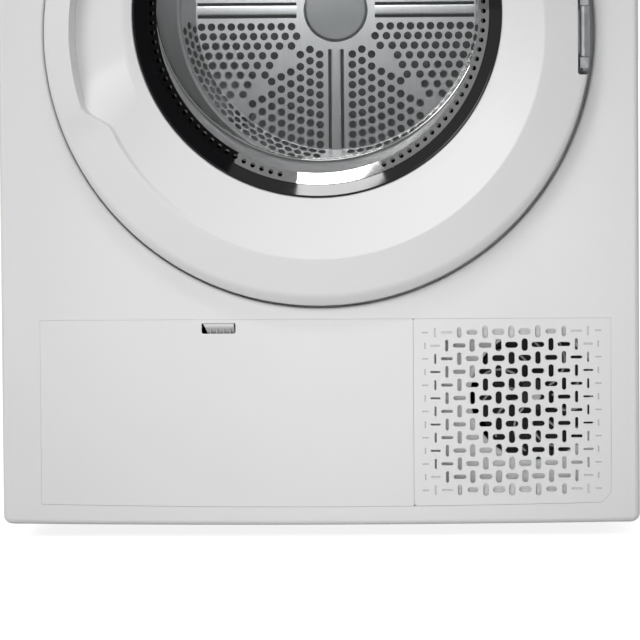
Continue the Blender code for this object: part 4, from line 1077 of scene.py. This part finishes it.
def make_knob():
    """Knob with its pointer, and the dial marks round it."""
    centre_x, centre_z = node_centre("programme_knob")
    profile = soften([(0, -0.3120), (0.0150, -0.3120), (0.0175, -0.3110), (0.0225, -0.3112),
                      (0.0242, -0.3095), (0.0248, -0.2960), (0.0258, -0.2935), (0.0260, -0.2905),
                      (0.0055, -0.2905), (0.0055, -0.2700), (0, -0.2700)], 0.0010)
    finish_piece("knob_body", turned("Y", (centre_x, centre_z), profile), "white", "knob",
                 ["programme_knob"])
    pointer = block((centre_x - 0.0009, centre_x + 0.0009), (-0.3119, -0.3106),
                    (centre_z + 0.0150, centre_z + 0.0225), 0.0003)
    finish_piece("knob_pointer", pointer, "mark", "knob")
    shape = bmesh.new()
    for index in range(DIAL_MARKS):
        a = math.tau * index / DIAL_MARKS
        tick = circle((centre_x + DIAL_R * math.sin(a), centre_z + DIAL_R * math.cos(a)),
                      0.0012 if index % 4 == 0 else 0.0008, 12)
        fill_ends(shape, bridge(shape, [at_y(tick, FACE_Y - 0.00015), at_y(tick, FACE_Y + 0.0004)]))
    finish_piece("dial_marks", shape, "mark", "cabinet")


def make_buttons():
    """Caps of the start and option buttons, and the window of the display."""
    profile = soften([(0, -0.2935), (0.0085, -0.2933), (0.0100, -0.2922), (0.0100, -0.2800), (0, -0.2800)],
                     0.0006)
    finish_piece("start_button_cap", turned("Y", node_centre("start_button"), profile), "light_grey",
                 "start_key", ["start_button"])
    for side in ("left", "right"):
        button = f"option_button_{side}"
        finish_piece(f"option_cap_{side}", node_block(button, 0.0012, 3), "light_grey",
                     f"option_key_{side}", [button])
    finish_piece("display_window", node_block("display_lens", 0.0005), "display", "cabinet",
                 ["display_lens"])


def make_drawer_front():
    """Front of the tank's drawer, with its grip opening."""
    lo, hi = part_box("tank_front")

    def drawer_at(inset):
        return rounded(lo.x + inset, hi.x - inset, lo.z + inset, hi.z - inset, 0.002, 0.002, 0.0, 8, 6)

    grip = hole_rows(grown(TANK_GRIP, 0.006, 0.006, 0.0, 8, 6), hi.y - FACE_Y, 0.0020)
    shape = bmesh.new()
    rows = edge_rows(drawer_at, FACE_Y, 0.0015, 1.0, 4) + [at_y(drawer_at(0.0), hi.y)]
    outer = bridge(shape, rows)
    fill_ends(shape, outer, bridge(shape, grip))
    finish_piece("tank_drawer_front", shape, "white", "tank_drawer", ["tank_front"])


def make_supports():
    """Worktop, then the throat, seal and rollers that show when the door is open."""
    finish_piece("worktop_slab", node_block("worktop", 0.0030, 4), "worktop", "cabinet",
                 ["worktop"])
    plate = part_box("drum_support_ring")[0].y
    back = plate + 0.002
    profile = soften([(0.1900, plate), (0.2660, plate), (0.2660, back), (0.2645, back), (0.2645, -0.2290),
                      (0.2620, -0.2290), (0.2620, back), (0.1925, back), (0.1925, -0.2360),
                      (0.1900, -0.2360)], 0.0006, 2)
    finish_piece("loading_throat", about_drum(profile), "grey", "cabinet",
                 ["drum_support_ring"])
    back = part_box("door_seal")[1].y
    profile = soften([(0.1990, back), (0.2000, -0.2730), (0.2035, -0.2752), (0.2060, -0.2740),
                      (0.2085, -0.2752), (0.2120, -0.2730), (0.2135, back)], 0.0010, 3)
    finish_piece("door_seal_lip", about_drum(profile), "seal", "cabinet", ["door_seal"])
    for side in ("left", "right"):
        lo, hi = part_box(f"support_roller_{side}")
        r = (hi.z - lo.z) / 2
        profile = soften([(r, lo.y + 0.001), (r, hi.y - 0.001), (r - 0.004, hi.y), (0.010, hi.y - 0.004),
                          (0.0044, hi.y), (0.0044, lo.y), (0.010, lo.y + 0.004), (r - 0.004, lo.y)], 0.0008)
        finish_piece(f"roller_tyre_{side}", turned("Y", node_centre(f"support_roller_{side}"), profile, 64),
                     "rubber", f"roller_{side}", [f"support_roller_{side}"])


# ---------------------------------------------------------------- materials of the kept CAD nodes
KEPT = {
    "enamel": ["left_side_panel", "right_side_panel"],
    "shaded_zinc": ["rear_bulkhead"],
    "zinc": ["rear_panel", "rear_duct_cover", "front_bulkhead", "heater",
             "door_hinge_bracket", "door_hinge_leaf", "idler_arm"],
    "grey": ["base_tray", "lint_filter", "idler_pulley", "tank_guide"],
    "dark": ["foot_front_left", "foot_front_right", "foot_rear_left", "foot_rear_right", "door_lock",
             "condenser_lock_left", "condenser_lock_right", "drain_pump", "power_inlet"],
    "shaft": ["door_latch_hook"],
    "aluminium": ["motor", "motor_shaft", "rear_bearing", "condenser"],
    "rubber": ["drum_belt", "tank_hose"],
    "felt": ["front_felt_seal"],
    "board": ["control_board"],
    "tank": ["water_tank"],
}


def dress_nodes():
    for look, names in KEPT.items():
        for name in names:
            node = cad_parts[name]
            node.data.materials.clear()
            node.data.materials.append(MATERIALS[look])
            shade(node.data)


# ---------------------------------------------------------------- room, light and camera
def aimed(thing, place, target, axis="-Z"):
    """Put a lamp, card or camera in its place and turn it to the target."""
    thing.location = place
    thing.rotation_euler = (Vector(target) - Vector(place)).to_track_quat(axis, "Y").to_euler()
    return thing


def area_light(name, place, target, size, size_y, power):
    data = bpy.data.lights.new(name, "AREA")
    data.shape = "RECTANGLE"
    data.size = size
    data.size_y = size_y
    data.energy = power
    return aimed(add_object(name, data), place, target)


def stage_sheet(name, size, look, tone, roughness):
    """A flat sheet of the studio, with its material; returns the sheet, its node tree and shader."""
    shape = bmesh.new()
    bmesh.ops.create_grid(shape, x_segments=2, y_segments=2, size=size)
    sheet = add_object(name, mesh_of(name, shape))
    material, tree, shader = new_material(look)
    set_inputs(shader, Base_Color=(tone, tone, tone, 1.0), Roughness=roughness)
    sheet.data.materials.append(material)
    return sheet, tree, shader


WORLD_LEVEL = 0.50              # the world as a light; the camera sees it plain white
FLOOR_GLOW = 0.86               # lifts the floor to white for the camera only
FLOOR_SIZE = 30.0
CARD_PLACE = (1.30, FACE_Y - 0.78, 1.00)    # unlit side of the studio, which the gloss mirrors
CARD_SCALE = (1.3, 1.9, 1.0)
STRIP_X = -0.247                # the strip lamp is mirrored at the bottom of the window
FAN_LAMP_X = GRILLE_X + 0.015
FAN_LAMP_Z = 0.112
AREA_LIGHTS = (                 # name, place, target, width, height and watts
    ("key_left", (-3.8, -5.2, 3.2), (0.0, FACE_Y, 0.40), 2.6, 2.6, 142.0),
    ("overhead_strip", (STRIP_X, FACE_Y - 0.86, 1.80), (STRIP_X, FACE_Y, 0.33), 0.676, 0.15, 4.9),
    ("drum_lamp", (-0.05, -0.13, DRUM_Z + 0.16), (0.06, 0.21, DRUM_Z + 0.08), 0.20, 0.08, 1.25),
    ("fan_lamp", (FAN_LAMP_X, -0.2845, FAN_LAMP_Z), (FAN_LAMP_X, 0.0, FAN_LAMP_Z), 0.14, 0.14, 0.022),
)
UNSEEN_LIGHTS = ("drum_lamp", "fan_lamp")       # these stand inside the dryer
FILL_PLACE = (0.05, FACE_Y - 2.2, 0.16)
FILL_AIM = (0.03, FACE_Y, 0.20)
FILL_POWER = 86.0
CAMERA_PLACE = (0.19, FACE_Y - 5.0, 0.517)
CAMERA_AIM = (0.0005, FACE_Y, 0.2040)
CAMERA_LENS = 302.6
CAMERA_ROLL = -0.42


def make_world():
    world = bpy.data.worlds.new("studio")
    bpy.context.scene.world = world
    world.use_nodes = True
    tree = world.node_tree
    background = set_inputs(tree.nodes["Background"], Color=(1.0, 1.0, 1.0, 1.0))
    rays = tree.nodes.new("ShaderNodeLightPath")
    level = add_node(tree, "ShaderNodeMapRange", To_Min=WORLD_LEVEL, To_Max=1.0)
    tree.links.new(rays.outputs["Is Camera Ray"], level.inputs["Value"])
    tree.links.new(level.outputs["Result"], background.inputs["Strength"])


def make_room():
    bpy.context.scene.view_settings.view_transform = "Standard"
    make_world()
    _, tree, shader = stage_sheet("studio_floor", FLOOR_SIZE, "pale_floor", 0.62, 0.9)
    set_inputs(shader, Emission_Color=(1.0, 1.0, 1.0, 1.0))
    rays = tree.nodes.new("ShaderNodeLightPath")
    level = tree.nodes.new("ShaderNodeMath")
    level.operation = "MULTIPLY"
    level.inputs[1].default_value = FLOOR_GLOW
    tree.links.new(rays.outputs["Is Camera Ray"], level.inputs[0])
    tree.links.new(level.outputs["Value"], shader.inputs["Emission Strength"])

    card = stage_sheet("dark_card", 0.5, "black_cloth", 0.01, 0.95)[0]
    aimed(card, CARD_PLACE, (0.0, FACE_Y, 0.45), "Z").scale = CARD_SCALE
    for ray in ("visible_camera", "visible_diffuse", "visible_shadow", "visible_transmission"):
        setattr(card, ray, False)

    for name, *setting in AREA_LIGHTS:
        area_light(name, *setting).visible_camera = name not in UNSEEN_LIGHTS
    data = bpy.data.lights.new("front_fill", "SPOT")
    data.energy = FILL_POWER
    data.spot_size = math.radians(25.0)
    data.spot_blend = 1.0
    data.shadow_soft_size = 0.3
    aimed(add_object("front_fill", data), FILL_PLACE, FILL_AIM).visible_glossy = False


def make_camera():
    data = bpy.data.cameras.new("camera")
    data.sensor_width = 36.0
    data.lens = CAMERA_LENS
    data.clip_end = 100.0
    camera = aimed(add_object("camera", data), CAMERA_PLACE, CAMERA_AIM)
    look = camera.rotation_euler.to_matrix().to_4x4()
    camera.rotation_euler = (look @ Matrix.Rotation(math.radians(CAMERA_ROLL), 4, "Z")).to_euler()
    bpy.context.scene.camera = camera


make_room()
make_camera()
hinge_notch = notch_cutter()
make_door_ring(hinge_notch)
make_door_frame(hinge_notch)
bpy.data.objects.remove(hinge_notch, do_unlink=True)
make_door_glass()
make_drum_rear_wall()
make_drum_shell()
make_lifters()
make_front_panel()
make_flap()
make_latch()
make_grille()
make_fan_duct()
make_fan("cooling_fan", 0.018, 0.055)
make_fan("process_fan", 0.022, 0.058)
make_fascia()
make_knob()
make_buttons()
make_drawer_front()
make_supports()
dress_nodes()
even_normals()
